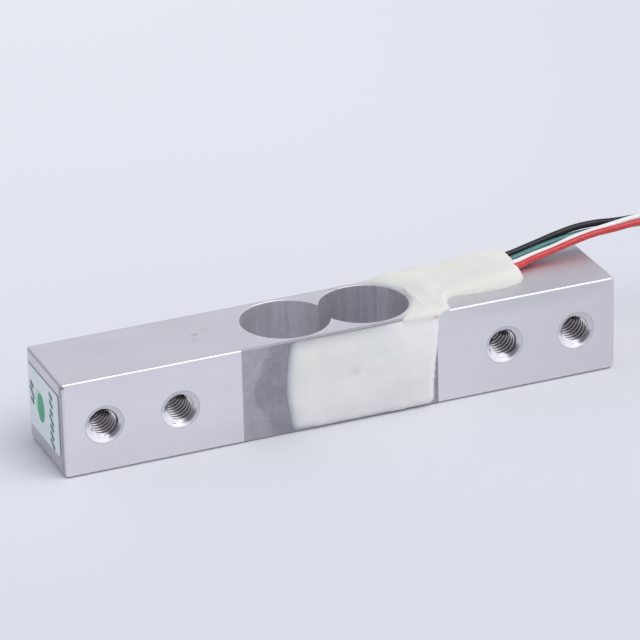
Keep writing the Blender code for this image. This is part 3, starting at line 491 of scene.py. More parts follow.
def chip_and_painted_rim_highlight(finish):
    """The chip at the front left corner, and a painted highlight: the bright line along the front half of the
    bore's rim.
    """
    x, y, z = finish.axes
    chip = finish.spot((LEFT + 0.22, FRONT, TOP - 0.4), (0.28, 0.4, 0.2), 0.5)
    finish.tint(chip * 0.8, (0.2, 0.19, 0.22))
    # Painted highlight along the front half of the bore's rim.
    reach = ((abs(x) - BORE_MIDDLE) ** 2.0 + y**2.0).put("SQRT")
    rim = reach.within(RIM_RADIUS - 0.1 * MM, RIM_RADIUS + 0.12 * MM, 0.03 * MM)
    rim = rim * (z > HEIGHT - 0.02 * MM) * y.ramp(-2.0 * MM, 2.0 * MM, 1.0, 0.0)
    finish.tint(rim * 0.55, (1.0, 1.0, 1.0))


def sanded_band(finish):
    """The sanded band with its pale ragged stain at the left. Returns its place and its corner's."""
    x, y, z = finish.axes
    band = (abs(y) > HALF_WIDTH - EDGE_BORDER) * x.within(SANDED_LEFT, SANDED_RIGHT, 0.04 * MM)
    ragged = finish.noise(1.1 * MM, detail=4.0, roughness=0.6)
    wave = ragged.ramp(0.25, 0.75, -0.9 * MM, 0.9 * MM, False)
    upper = (x + (HEIGHT - z) * 0.48 + wave).ramp(-9.9 * MM, -9.3 * MM, 1.0, 0.0)
    lower = (x - (6.3 * MM - z) * 0.5 + wave).ramp(-12.9 * MM, -12.2 * MM, 1.0, 0.0)
    blotch = finish.noise(2.2 * MM, detail=5.0, roughness=0.62).ramp(0.35, 0.68, 0.0, 0.3)
    light = (upper.at_least(lower * 0.8) * 0.55).put("ADD", blotch, clamp=True)
    speck = finish.noise(0.22 * MM, detail=3.0, shift=3.0)
    dark = finish.mixed(light, (0.31, 0.298, 0.335), (0.53, 0.51, 0.545))
    dark = finish.mixed(speck.ramp(0.3, 0.75, 0.0, 0.22), dark, (0.56, 0.55, 0.6))
    finish.tint(band, dark)
    corner = band * (abs(y) < HALF_WIDTH - 0.005 * MM)
    finish.tint(corner * 0.75, (0.43, 0.42, 0.455))
    return band, corner


def satin_metal(name, colour, roughness, add_tints):
    """Blasted aluminium with faint rolling lines, its own tints of painted light and shade and marks, a
    painted highlight on the bore's rim, and the sanded band over the gauges.
    """
    finish = Finish(name, colour, metallic=1.0)
    grain = finish.noise(0.16 * MM, detail=3.0)
    lines = finish.noise(0.09 * MM, stretch=(30.0, 1.0, 1.0))
    cloud = finish.noise(6.0 * MM, stretch=(2.0, 1.0, 1.0), detail=3.0)
    shade = lines.ramp(0.25, 0.75, -0.014, 0.014, False) + cloud.spread(0.965, 1.0)
    finish.shade(shade + grain.spread(-0.02, 0.02))
    add_tints(finish)
    chip_and_painted_rim_highlight(finish)
    band, corner = sanded_band(finish)
    rough = cloud.spread(roughness - 0.025, roughness + 0.025) + band * 0.14 + corner * 0.1
    return finish.done(rough, (grain, GRAIN_DEPTH), (lines, GRAIN_DEPTH * 0.3))


def bore_metal():
    """Wire-cut walls of the double bore, with fine upright streaks, and painted shade that makes the right
    bore darker than the left.
    """
    finish = Finish("bore_wall_finish", (0.85, 0.83, 0.865), metallic=1.0)
    streak = finish.noise(0.28 * MM, stretch=(1.0, 1.0, 60.0), detail=4.0, roughness=0.6)
    broad = finish.noise(1.6 * MM, stretch=(1.0, 1.0, 30.0))
    fleck = finish.noise(0.2 * MM, stretch=(1.0, 1.0, 5.0), detail=3.0, shift=5.0)
    # Painted shade: the right bore darker than the left.
    finish.tint(finish.axes[0].ramp(-2.0 * MM, 2.0 * MM), (0.765, 0.745, 0.785))
    finish.shade(streak.spread(0.95, 1.02) * broad.spread(0.96, 1.03) * fleck.ramp(0.3, 0.75, 0.95, 1.05))
    return finish.done(streak.spread(0.42, 0.54), (streak, GRAIN_DEPTH), (fleck, 0.002 * MM))


def thread_metal():
    """Cut threads and the mouths of their holes, with painted light and shade: a dark base for the shade in
    the holes, painted highlights on the crests and the lower lips, and a painted dark wedge to one side.
    """
    # The very dark base is painted shade inside the holes.
    finish = Finish("thread_finish", (0.1, 0.09, 0.1), metallic=1.0)
    x, y, z = finish.axes
    shifted = x - x.put("SIGN") * PAIR_MIDDLE + HOLE_SPACING
    across = shifted % HOLE_SPACING - HOLE_SPACING / 2
    height = z - HEIGHT / 2
    reach = (across**2.0 + height**2.0).put("SQRT")
    ring = reach.ramp(THREAD_MAJOR - 0.02 * MM, THREAD_MAJOR + 0.06 * MM)
    lower = ((height * -0.85 - across * 0.5) / reach).ramp(0.1, 0.9, 0.7, 2.2)
    entry = ((HALF_WIDTH - abs(y)) / lower).ramp(0.35 * MM, 0.65 * MM, 1.0, 0.0)
    towards = (across * 0.75 - height * 0.66) / reach
    tarnish = finish.noise(1.4 * MM, shift=2.0)
    finish.tint(tarnish.ramp(0.35, 0.65), (0.12, 0.09, 0.088))
    # Painted highlight on the crests that face one way.
    crest = reach.ramp(THREAD_MINOR + 0.05 * MM, THREAD_MINOR + 0.2 * MM, 1.0, 0.0)
    finish.tint(crest * towards.ramp(0.45, 0.95, 1.0, 0.3), (0.9, 0.88, 0.9))
    # Painted highlight on the lower lip of each mouth.
    lip = finish.mixed(lower.ramp(1.0, 1.9), (0.7, 0.685, 0.715), (0.95, 0.935, 0.95))
    # Painted shade: a dark wedge to one side of each mouth.
    painted_wedge_shade = towards.ramp(0.76, 0.97, 0.0, 0.9) * reach.ramp(THREAD_MAJOR, MOUTH_RADIUS, 1.0, 0.0)
    lip = finish.mixed(painted_wedge_shade, lip, (0.2, 0.19, 0.22))
    outline = reach.ramp(MOUTH_RADIUS + 0.03 * MM, MOUTH_RADIUS + 0.08 * MM, 0.0, 0.75)
    lip = finish.mixed(outline, lip, (0.42, 0.41, 0.43))
    finish.tint(ring.at_least(entry), lip)
    return finish.done(finish.noise(0.3 * MM).spread(0.12, 0.17) + ring * 0.3)


def end_metal():
    """Sawn and milled ends with faint cutter lines, and painted shade on the left one: a shadow round the
    sticker, darker along the front edge and low down.
    """
    finish = Finish("end_face_finish", (0.72, 0.7, 0.735), metallic=1.0)
    x, y, z = finish.axes
    lines = finish.noise(0.12 * MM, stretch=(1.0, 24.0, 1.0), detail=3.0)
    finish.shade(lines.spread(0.93, 1.04) * finish.noise(3.0 * MM, detail=3.0).spread(0.95, 1.03))
    left_end = x < 0.0
    # Painted shadow round the sticker's edge.
    sticker_shadow_reach, soft = 0.16 * MM, 0.05 * MM
    beside = y.within(STICKER_LOW[0] * MM - sticker_shadow_reach, STICKER_HIGH[0] * MM + sticker_shadow_reach, soft)
    beside = beside * z.within(STICKER_LOW[1] * MM - sticker_shadow_reach, STICKER_HIGH[1] * MM + sticker_shadow_reach, soft)
    finish.tint(beside * left_end * 0.7, (0.3, 0.29, 0.31))
    # Painted shade along the front edge.
    front_edge_shade = y.ramp(-HALF_WIDTH + 0.55 * MM, -HALF_WIDTH + 0.95 * MM, 0.75, 0.0)
    finish.tint(front_edge_shade * left_end, (0.36, 0.35, 0.375))
    # Painted shade low down.
    finish.tint(z.ramp(2.3 * MM, 2.7 * MM, 0.6, 0.0) * left_end, (0.5, 0.485, 0.52))
    return finish.done(lines.spread(0.52, 0.62), (lines, 0.003 * MM))


# Other finishes

# Marks on the front coat, and painted shadow beside the fold (the three small grey ones by x 11.2 to 11.8): x
# and height, radii, tone and share
COAT_MARKS_AND_SHADE = (
    ((1.25, 7.2), (0.85, 0.55), (0.62, 0.6, 0.62), 0.4),
    ((4.5, 6.4), (1.6, 0.7), (0.74, 0.66, 0.67), 0.28),
    ((8.55, 12.55), (0.35, 0.13), (0.4, 0.4, 0.44), 0.5),
    ((11.15, 12.02), (0.24, 0.16), (0.45, 0.45, 0.48), 0.5),
    ((11.5, 12.2), (0.24, 0.16), (0.45, 0.45, 0.48), 0.5),
    ((11.8, 12.4), (0.24, 0.16), (0.45, 0.45, 0.48), 0.45),
    ((7.6, 3.6), (2.6, 1.2), (0.66, 0.68, 0.69), 0.35),
    ((4.8, 9.6), (3.0, 1.6), (0.70, 0.735, 0.725), 0.4),
    ((3.5, 1.2), (6.5, 1.9), (0.62, 0.63, 0.66), 0.4),
)


def silicone(name):
    """Smeared silicone: ivory on top, cooler white down the gauged faces, bluish where it thins out."""
    finish = Finish(name, (0.79, 0.785, 0.765), Specular_IOR_Level=0.25)
    finish.shader.inputs["Subsurface Radius"].default_value = (1.0, 0.95, 0.85)
    finish.shader.inputs["Subsurface Scale"].default_value = 0.9 * MM
    x, y, z = finish.axes
    cloud = finish.noise(3.2 * MM, detail=3.0).ramp(0.35, 0.7)
    patch = finish.noise(1.1 * MM, detail=3.0, shift=4.0)
    thickness = add_node(finish.tree, "ShaderNodeAttribute", attribute_name="thickness").outputs["Fac"]
    thickness = Field(finish.tree, thickness)
    finish.tint(cloud, (0.83, 0.82, 0.785))
    finish.tint(finish.spot((-3.0, FRONT, 9.6), (4.5, 3.0, 3.2), 0.9) * 0.5, (0.77, 0.775, 0.70))
    # Marks, and painted shadow beside the fold.
    for centre, radii, tone, share in COAT_MARKS_AND_SHADE:
        mark = finish.spot((centre[0], FRONT, centre[1]), (radii[0], 2.0, radii[1]), 0.8)
        finish.tint(mark * share, tone)
    finish.tint(finish.spot((10.5, FRONT, 10.8), (3.6, 3.0, 3.0), 0.9), (0.87, 0.86, 0.84))
    warm = finish.mixed(cloud, (0.74, 0.725, 0.665), (0.78, 0.765, 0.695))
    warm = finish.mixed(patch.ramp(0.4, 0.75, 0.0, 0.35), warm, (0.72, 0.72, 0.67))
    finish.tint(z.ramp(10.9 * MM, 13.1 * MM), warm)
    thin = thickness.ramp(0.06 * MM, 0.36 * MM, 1.0, 0.0)
    finish.tint(thin * x.ramp(-7.0 * MM, -2.0 * MM, 0.48, 0.08), (0.44, 0.52, 0.58))
    behind = y.ramp(-3.0 * MM, 0.0) * thickness.ramp(0.1 * MM, 0.7 * MM, 0.4, 0.0)
    finish.tint(behind, (0.5, 0.5, 0.53))
    # Painted shade in the fold's crease, tinted pink.
    finish.tint(finish.spot((12.4, FRONT, 12.32), (0.5, 0.9, 0.26), 0.7) * 0.55, (0.6, 0.36, 0.36))
    by_seam = finish.spot((9.9, FRONT, 12.15), (3.4, 2.0, 0.9), 0.5)
    feed(finish.tree, finish.shader.inputs["Subsurface Weight"], 0.6 - by_seam * 0.55)
    fine = finish.noise(0.35 * MM, detail=3.0, shift=7.0)
    return finish.done(patch.spread(0.46, 0.6), (patch, 0.03 * MM), (fine, 0.008 * MM))


def jacket(name, colour, glow, gloss=0.4):
    """Lead insulation: smooth, slightly wavy along its length, with a little dust."""
    finish = Finish(name, colour, Specular_IOR_Level=0.35, Coat_Weight=gloss, Coat_Roughness=0.14)
    cloud = finish.noise(1.6 * MM, detail=3.0)
    dust = finish.noise(0.2 * MM, detail=3.0, shift=4.0)
    finish.tint(cloud.spread(), glow)
    finish.tint(dust.ramp(0.65, 0.8, 0.0, 0.05), (0.7, 0.7, 0.7))
    return finish.done(dust.ramp(0.35, 0.75, 0.2, 0.28), (cloud, 0.02 * MM), (dust, 0.002 * MM))


def plain_plastic(name, colour, second, roughness, grain, depth=0.003 * MM):
    """Plastic, paper or film with a fine grain and a slight change of shade."""
    finish = Finish(name, colour)
    fine = finish.noise(grain, detail=4.0)
    cloud = finish.noise(grain * 14.0, detail=3.0, shift=3.0)
    finish.tint(fine.spread(0.0, 0.4) + cloud.spread(0.0, 0.6), second)
    return finish.done(fine.spread(roughness - 0.06, roughness + 0.06), (fine, depth))


def wire_metal(name, colour, second, roughness):
    """Drawn wire or foil with a slight tarnish."""
    finish = Finish(name, colour, metallic=1.0)
    tarnish = finish.noise(0.5 * MM, detail=4.0)
    finish.tint(tarnish.spread(), second)
    bump = (finish.noise(0.06 * MM), 0.002 * MM)
    return finish.done(tarnish.spread(roughness - 0.05, roughness + 0.08), bump)


# Meshes


def link_mesh(name, mesh, *materials):
    made = bpy.data.objects.new(name, mesh)
    bpy.context.scene.collection.objects.link(made)
    for material in materials:
        mesh.materials.append(material)
    return made


def dress(piece, slot, *nodes):
    """Puts a piece on the part's body, in place of the nodes that it stands for. The slot is not used."""
    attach(piece, "root")
    if nodes:
        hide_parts(*nodes)


def mesh_of(bm, name):
    mesh = bpy.data.meshes.new(name)
    bm.to_mesh(mesh)
    bm.free()
    return mesh


def settle(piece):
    """Turns a piece with its modifiers into a plain mesh."""
    graph = bpy.context.evaluated_depsgraph_get()
    shaped = piece.evaluated_get(graph)
    mesh = bpy.data.meshes.new_from_object(shaped, preserve_all_data_layers=True, depsgraph=graph)
    piece.modifiers.clear()
    piece.data = mesh
    return piece

def run_tree(piece, tree, **values):
    """Runs a geometry tree on a piece with its named inputs, and keeps the result as a plain mesh."""
    modifier = piece.modifiers.new("build", "NODES")
    modifier.node_group = tree
    for item in tree.interface.items_tree:
        if item.item_type == "SOCKET" and item.in_out == "INPUT" and item.name in values:
            modifier[item.identifier] = values[item.name]
    return settle(piece)


def new_tree(name, sizes):
    """An empty geometry tree, its named inputs as fields, and the inputs of its end node."""
    tree = bpy.data.node_groups.new(name, "GeometryNodeTree")
    tree.interface.new_socket(name="Geometry", in_out="INPUT", socket_type="NodeSocketGeometry")
    for size, kind in sizes.items():
        tree.interface.new_socket(name=size, in_out="INPUT", socket_type=kind)
    tree.interface.new_socket(name="Geometry", in_out="OUTPUT", socket_type="NodeSocketGeometry")
    outputs = tree.nodes.new("NodeGroupInput").outputs
    fields = {size: Field(tree, outputs[size]) for size in ("Geometry", *sizes)}
    return tree, fields, tree.nodes.new("NodeGroupOutput").inputs


def position_fields(tree):
    """The x, y and z of each point as fields."""
    place = add_node(tree, "GeometryNodeInputPosition").outputs[0]
    return [Field(tree, socket) for socket in add_node(tree, "ShaderNodeSeparateXYZ", {0: place}).outputs]


def vector_of(tree, *parts):
    return add_node(tree, "ShaderNodeCombineXYZ", dict(enumerate(parts))).outputs[0]


def random_field(tree, low, high, seed):
    inputs = {2: low, 3: high, "Seed": seed}
    return add_node(tree, "FunctionNodeRandomValue", inputs, data_type="FLOAT").outputs[1]


def end_tree(tree, geometry_socket, material, target):
    """Ends a tree: instances made real, smooth shading, and the material set."""
    real = add_node(tree, "GeometryNodeRealizeInstances", {0: geometry_socket}).outputs[0]
    smooth = add_node(tree, "GeometryNodeSetShadeSmooth", {0: real}).outputs[0]
    inputs = {0: smooth, "Material": material}
    tree.links.new(add_node(tree, "GeometryNodeSetMaterial", inputs).outputs[0], target)


def smooth_shading(mesh, angle):
    mesh.shade_smooth()
    mesh.set_sharp_from_angle(angle=math.radians(angle))


def slopes(points, closed):
    """Unit direction of a smooth curve at each of its points."""
    count = len(points)
    found = []
    for k in range(count):
        before = points[(k - 1) % count] if closed else points[max(k - 1, 0)]
        after = points[(k + 1) % count] if closed else points[min(k + 1, count - 1)]
        found.append((after - before).normalized())
    return found


def smooth_curve(points, steps, closed=False):
    """Points along a smooth curve through the given ones, with so many steps in each stretch."""
    points = [Vector(point) for point in points]
    tangents = slopes(points, closed)
    stretches = len(points) if closed else len(points) - 1
    curve = []
    for k in range(stretches):
        start, end = points[k], points[(k + 1) % len(points)]
        out, into = tangents[k], tangents[(k + 1) % len(points)]
        reach = (end - start).length
        for step in range(steps):
            t = step / steps
            curve.append(
                start * (2 * t**3 - 3 * t**2 + 1)
                + out * reach * (t**3 - 2 * t**2 + t)
                + end * (3 * t**2 - 2 * t**3)
                + into * reach * (t**3 - t**2)
            )
    return curve if closed else [*curve, points[-1]]


def as_array(points):
    return np.array([tuple(point) for point in points])


def evenly_spaced(curve, spacing):
    """The curve's points at about the given spacing, with both ends kept."""
    curve = as_array(curve)
    steps = np.linalg.norm(np.diff(curve, axis=0), axis=1)
    travelled = np.concatenate(([0.0], np.cumsum(steps)))
    count = max(2, round(travelled[-1] / spacing))
    stations = np.linspace(0.0, travelled[-1], count + 1)
    return np.stack([np.interp(stations, travelled, curve[:, k]) for k in range(curve.shape[1])], axis=1)


# Bar


def rounded_block():
    """The bar before its bores, with its own radius on each kind of edge."""
    bm = bmesh.new()
    bmesh.ops.create_cube(bm, size=1.0)
    for vertex in bm.verts:
        x, y, z = vertex.co
        vertex.co = (2 * HALF_LENGTH * x, 2 * HALF_WIDTH * y, HEIGHT * (z + 0.5))
    weights = bm.edges.layers.float.new("bevel_weight_edge")
    widest = RIGHT_FOOT_RADIUS
    for edge in bm.edges:
        along = edge.verts[1].co - edge.verts[0].co
        if abs(along.x) > HALF_LENGTH:
            radius = LONG_EDGE_RADIUS
        elif abs(along.z) > HEIGHT / 2:
            radius = UPRIGHT_EDGE_RADIUS
        elif edge.verts[0].co.z > HEIGHT / 2:
            radius = TOP_END_RADIUS
        else:
            radius = LEFT_FOOT_RADIUS if edge.verts[0].co.x < 0.0 else RIGHT_FOOT_RADIUS
        edge[weights] = radius / widest
    block = link_mesh("bar", mesh_of(bm, "bar"))
    bevel = block.modifiers.new("edges", "BEVEL")
    bevel.limit_method = "WEIGHT"
    bevel.width = widest
    bevel.segments = EDGE_STEPS
    bevel.material = 1
    return block


def bore_outline(radius):
    """Outline of the double bore for that bore radius, counterclockwise."""
    half = math.pi - math.acos(BORE_MIDDLE / radius)
    points = []
    for side in (1, -1):
        for k in range(BORE_STEPS):
            angle = -half + 2 * half * k / BORE_STEPS
            points.append((side * (BORE_MIDDLE + radius * math.cos(angle)), side * radius * math.sin(angle)))
    return points


def bore_cutter(material):
    """The double bore with a fine chamfer at each rim, as a solid to cut with."""
    levels = (
        (-CUT_OVER, RIM_RADIUS + CUT_OVER), (BORE_CHAMFER, BORE_RADIUS),
        (HEIGHT - BORE_CHAMFER, BORE_RADIUS), (HEIGHT + CUT_OVER, RIM_RADIUS + CUT_OVER),
    )
    bm = bmesh.new()
    rings = [[bm.verts.new((x, y, z)) for x, y in bore_outline(radius)] for z, radius in levels]
    count = len(rings[0])
    for low, high in zip(rings, rings[1:]):
        for k in range(count):
            after = (k + 1) % count
            bm.faces.new((low[k], low[after], high[after], high[k]))
    bm.faces.new(rings[0])
    bm.faces.new(rings[-1])
    bmesh.ops.recalc_face_normals(bm, faces=bm.faces)
    return link_mesh("bore_cutter", mesh_of(bm, "bore_cutter"), material)


def thread_tree(material):
    """Threaded cutters on the base mesh's points: a helical sheet welded turn to turn, with wide mouths."""
    lengths = (
        "Pitch", "Minor Radius", "Major Radius", "Mouth Radius", "Mouth Slope", "Mouth Lip", "Widest Radius",
        "Half Width",
    )
    counts = ("Turns", "Around", "Rows")
    sizes = dict.fromkeys(lengths, "NodeSocketFloat") | dict.fromkeys(counts, "NodeSocketInt")
    tree, size, result = new_tree("tapped_holes", sizes)
    columns = size["Turns"] * size["Around"] + 1.0
    inputs = {"Size X": 1.0, "Size Y": 1.0, "Vertices X": columns, "Vertices Y": size["Rows"] + 1.0}
    sheet = add_node(tree, "GeometryNodeMeshGrid", inputs).outputs["Mesh"]
    across, up, _ = position_fields(tree)
    turns = (across + 0.5) * size["Turns"]
    phase = up + 0.5
    first = (turns < 1.0 - THREAD_HAIR) * (phase < 1.0 - THREAD_HAIR)
    last = (turns > size["Turns"] - (1.0 - THREAD_HAIR)) * (phase > THREAD_HAIR)
    full = size["Turns"] + 1.0
    steps = ((turns + phase) * (1.0 - first)).at_least(full * last)
    along = (steps - full / 2.0) * size["Pitch"]
    rising = phase.ramp(0.125, 0.5, smooth=False)
    falling = phase.ramp(0.625, 1.0, 1.0, 0.0, smooth=False)
    flank = rising.at_most(falling).ramp(0.0, 1.0, size["Minor Radius"], size["Major Radius"], False)
    inset = size["Half Width"] - abs(along)
    cone = size["Mouth Radius"] - inset * size["Mouth Slope"]
    lip = size["Mouth Radius"] + size["Mouth Lip"] - inset * LIP_SLOPE
    radius = flank.at_least(cone.at_least(lip)).at_most(size["Widest Radius"])
    radius = radius * (1.0 - (first + last))
    angle = turns * math.tau
    moved = vector_of(tree, angle.put("COSINE") * radius, angle.put("SINE") * radius, along)
    cutter = add_node(tree, "GeometryNodeSetPosition", {"Geometry": sheet, "Position": moved}).outputs[0]
    welded = {"Geometry": cutter, "Distance": THREAD_WELD}
    cutter = add_node(tree, "GeometryNodeMergeByDistance", welded).outputs[0]
    laid = {"Points": size["Geometry"], "Instance": cutter, "Rotation": (math.pi / 2, 0.0, 0.0)}
    copies = add_node(tree, "GeometryNodeInstanceOnPoints", laid).outputs[0]
    spun = vector_of(tree, 0.0, 0.0, random_field(tree, 0.0, math.tau, THREAD_SEED))
    copies = add_node(tree, "GeometryNodeRotateInstances", {"Instances": copies, "Rotation": spun}).outputs[0]
    end_tree(tree, copies, material, result[0])
    return tree


def thread_cutters(material):
    """The four tapped holes as solids to cut with, one at each hole's place."""
    mesh = bpy.data.meshes.new("tapped_holes")
    mesh.from_pydata([(x, 0.0, HEIGHT / 2) for x in HOLE_PLACES], [], [])
    sizes = {
        "Pitch": THREAD_PITCH, "Minor Radius": THREAD_MINOR, "Major Radius": THREAD_MAJOR,
        "Mouth Radius": MOUTH_RADIUS, "Mouth Slope": MOUTH_SLOPE, "Mouth Lip": MOUTH_LIP,
        "Widest Radius": WIDEST_RADIUS, "Half Width": HALF_WIDTH,
        "Turns": THREAD_TURNS, "Around": THREAD_SIDES, "Rows": THREAD_ROWS,
    }
    return run_tree(link_mesh("tapped_holes", mesh), thread_tree(material), **sizes)


def make_bar():
    """The aluminium bar with its double bore and its four real threads."""
    bore_wall = bore_metal()
    thread = thread_metal()
    faces = satin_metal("satin_finish", (0.855, 0.835, 0.875), 0.4, face_shade_and_marks)
    # The rounded edges are a darker copy of the satin finish: painted shade that dims the lamp's highlight on
    # them.
    edges = satin_metal("edge_finish", (0.45, 0.44, 0.465), 0.42, painted_edge_light_and_shade)
    bar = rounded_block()
    for material in (faces, edges, end_metal(), bore_wall, thread):
        bar.data.materials.append(material)
    tools = [bore_cutter(bore_wall), thread_cutters(thread)]
    for tool in tools:
        cut = bar.modifiers.new("cut", "BOOLEAN")
        cut.object = tool
        cut.solver = "EXACT"
        cut.material_mode = "TRANSFER"
    settle(bar)
    for tool in tools:
        bpy.data.objects.remove(tool)
    mesh = bar.data
    names = [material.name for material in mesh.materials]
    satin, end = names.index("satin_finish"), names.index("end_face_finish")
    for face in mesh.polygons:
        at_end = abs(face.normal.x) > 0.9 and abs(face.center.x) > HALF_LENGTH - 0.1 * MM
        if at_end and face.material_index == satin:
            face.material_index = end
    smooth_shading(mesh, 35.0)
    weighted = bar.modifiers.new("normals", "WEIGHTED_NORMAL")
    weighted.keep_sharp = True
    weighted.weight = 100
    settle(bar)
    dress(bar, "satin_aluminium", "beam")


# Skins: pieces that lie on a face as a layer of changing thickness


def round_bar(x, s, rise):
    """Places over the bar: s is 0 at the middle of the top front edge, and grows over the top to the rear."""
    inner_y, inner_z = HALF_WIDTH - LONG_EDGE_RADIUS, HEIGHT - LONG_EDGE_RADIUS
    top_end = EDGE_ARC / 2 + TOP_WIDTH
    first = np.clip((s + EDGE_ARC / 2) / LONG_EDGE_RADIUS, 0.0, math.pi / 2)
    last = np.clip((s - top_end) / LONG_EDGE_RADIUS, 0.0, math.pi / 2)
    reach = LONG_EDGE_RADIUS + rise
    y = -inner_y - reach * np.cos(first) + np.clip(s - EDGE_ARC / 2, 0.0, TOP_WIDTH) + reach * np.sin(last)
    z = inner_z + reach * (np.sin(first) + np.cos(last) - 1.0)
    z = z + np.minimum(s + EDGE_ARC / 2, 0.0) - np.maximum(s - top_end - EDGE_ARC, 0.0)
    return np.stack([x, y, z], axis=1)


def on_front(points):
    """Front face points, x and height in millimetres, as x and s."""
    return [(x * MM, z * MM - (HEIGHT - LONG_EDGE_RADIUS) - EDGE_ARC / 2) for x, z in points]


def on_top(points):
    """Top face points, x and y in millimetres, as x and s."""
    return [(x * MM, y * MM + HALF_WIDTH - LONG_EDGE_RADIUS + EDGE_ARC / 2) for x, y in points]


def on_rear(points):
    """Rear face points, x and height in millimetres, as x and s."""
    start = EDGE_ARC / 2 + TOP_WIDTH + EDGE_ARC
    return [(x * MM, start + HEIGHT - LONG_EDGE_RADIUS - z * MM) for x, z in points]


def distance_to(points, loop, closed=True):
    """Distance of each point to the nearest stretch of the loop."""
    ends = np.roll(loop, -1, axis=0) if closed else loop[1:]
    starts = loop if closed else loop[:-1]
    nearest = np.full(len(points), np.inf)
    for start, end in zip(starts, ends):
        run = end - start
        length = max(run @ run, 1e-18)
        share = np.clip(((points - start) @ run) / length, 0.0, 1.0)
        nearest = np.minimum(nearest, np.linalg.norm(points - start - share[:, None] * run, axis=1))
    return nearest


def inside(points, loop):
    """Whether each point lies inside the loop."""
    found = np.zeros(len(points), dtype=bool)
    for (u1, v1), (u2, v2) in zip(loop, np.roll(loop, -1, axis=0)):
        if v1 != v2:
            crossing = u1 + (points[:, 1] - v1) * (u2 - u1) / (v2 - v1)
            found ^= ((v1 > points[:, 1]) != (v2 > points[:, 1])) & (points[:, 0] < crossing)
    return found


def filled_outline(outline, spacing):
    """Triangles over an outline: its own points, and rows of points inside it at the given spacing."""
    low, high = outline.min(axis=0), outline.max(axis=0)
    row = spacing * math.sqrt(0.75)
    inner = []
    for k, v in enumerate(np.arange(low[1], high[1], row)):
        for u in np.arange(low[0] + spacing * 0.5 * (k % 2), high[0], spacing):
            inner.append((u, v))
    inner = np.array(inner)
    inner = inner[inside(inner, outline) & (distance_to(inner, outline) > spacing * 0.55)]
    points = [Vector(point) * (1.0 / MM) for point in np.concatenate((outline, inner))]
    count = len(outline)
    edges = [(k, (k + 1) % count) for k in range(count)]
    found = geometry.delaunay_2d_cdt(points, edges, [], 0, 1e-7, False)
    flat = np.array([tuple(point) for point in found[0]]) * MM
    faces = np.array(found[2])
    return flat, [tuple(face) for face in faces[inside(flat[faces].mean(axis=1), outline)].tolist()]


def skin(name, outline, spacing, rise, sink, place, material):
    """A closed layer over an outline, from sink under the surface up to the rise at each point."""
    flat, faces = filled_outline(outline, spacing)
    height = rise(flat, faces)
    count = len(flat)
    top = place(flat[:, 0], flat[:, 1], height)
    bottom = place(flat[:, 0], flat[:, 1], np.full(count, -sink))
    uses = {}
    for face in faces:
        for a, b in zip(face, (*face[1:], face[0])):
            uses[frozenset((a, b))] = (a, b, frozenset((a, b)) in uses)
    walls = [(b, a, a + count, b + count) for a, b, shared in uses.values() if not shared]
    under = [tuple(k + count for k in reversed(face)) for face in faces]
    mesh = bpy.data.meshes.new(name)
    mesh.from_pydata(np.concatenate((top, bottom)).tolist(), [], [*faces, *under, *walls])
    bm = bmesh.new()
    bm.from_mesh(mesh)
    loose = [vertex for vertex in bm.verts if not vertex.link_faces]
    bmesh.ops.delete(bm, geom=loose, context="VERTS")
    bmesh.ops.recalc_face_normals(bm, faces=bm.faces)
    bm.to_mesh(mesh)
    bm.free()
    layer = mesh.attributes.new("thickness", "FLOAT", "POINT")
    values = np.concatenate((height, height)).astype(np.float32)
    if len(values) == len(mesh.vertices):
        layer.data.foreach_set("value", values)
    smooth_shading(mesh, 50.0)
    return link_mesh(name, mesh, material)


def soft_step(value, low, high):
    t = np.clip((value - low) / (high - low), 0.0, 1.0)
    return t * t * (3 - 2 * t)


def silicone_loops():
    """The silicone's free edge as one loop in x and s, and where its four seam ends fall on it."""
    rim = RIM_RADIUS + RIM_SETBACK
    rim_points = []
    for degrees in RIM_ANGLES:
        angle = math.radians(degrees)
        rim_points.append(((BORE_MIDDLE + rim * math.cos(angle)) / MM, rim * math.sin(angle) / MM))
    stretches = (
        on_front(COAT_FREE_EDGE),
        on_front(LOBE_EDGE) + on_top(BEAD_FRONT_EDGE) + on_rear(BEAD_REAR_EDGE),
        on_rear(REAR_COAT_EDGE),
        on_rear(BACK_STRIP_EDGE) + on_top(BACK_STRIP_TIP) + on_top(rim_points) + on_top(LOBE_LEFT_EDGE),
    )
    control = [point for stretch in stretches for point in stretch]
    loop = as_array(smooth_curve(control, LOOP_STEPS, closed=True))
    marks = []
    passed = 0
    for stretch in stretches:
        marks.append((passed * LOOP_STEPS, (passed + len(stretch) - 1) * LOOP_STEPS))
        passed += len(stretch)
    return loop, marks


def thinned(curve, spacing):
    """Part of a loop at an even spacing, without its last point."""
    return evenly_spaced(curve, spacing)[:-1]


def silicone_outlines():
    """Outlines of the front coat, the bead and the rear coat, then the whole free edge and the two seams."""
    loop, marks = silicone_loops()
    (front_start, front_end), _, (rear_start, rear_end), _ = marks
    spacing = OUTLINE_SPACING
    front_seam = as_array(smooth_curve(on_front(COAT_SEAM), LOOP_STEPS))
    rear_seam = as_array(smooth_curve(on_rear(REAR_SEAM), LOOP_STEPS))
    coat = np.concatenate((thinned(loop[front_start:front_end + 1], spacing), thinned(front_seam, spacing)))
    rear = np.concatenate((thinned(loop[rear_start:rear_end + 1], spacing), thinned(rear_seam, spacing)))
    wrap = np.concatenate((loop[rear_end:], loop[:front_start + 1]))
    bead = np.concatenate((
        thinned(loop[front_end:rear_start + 1], spacing),
        thinned(rear_seam[::-1], spacing) - (0.0, SEAM_GAP),
        thinned(wrap, spacing),
        thinned(front_seam[::-1], spacing) + (0.0, SEAM_GAP),
    ))
    return coat, bead, rear, loop, (front_seam, rear_seam)


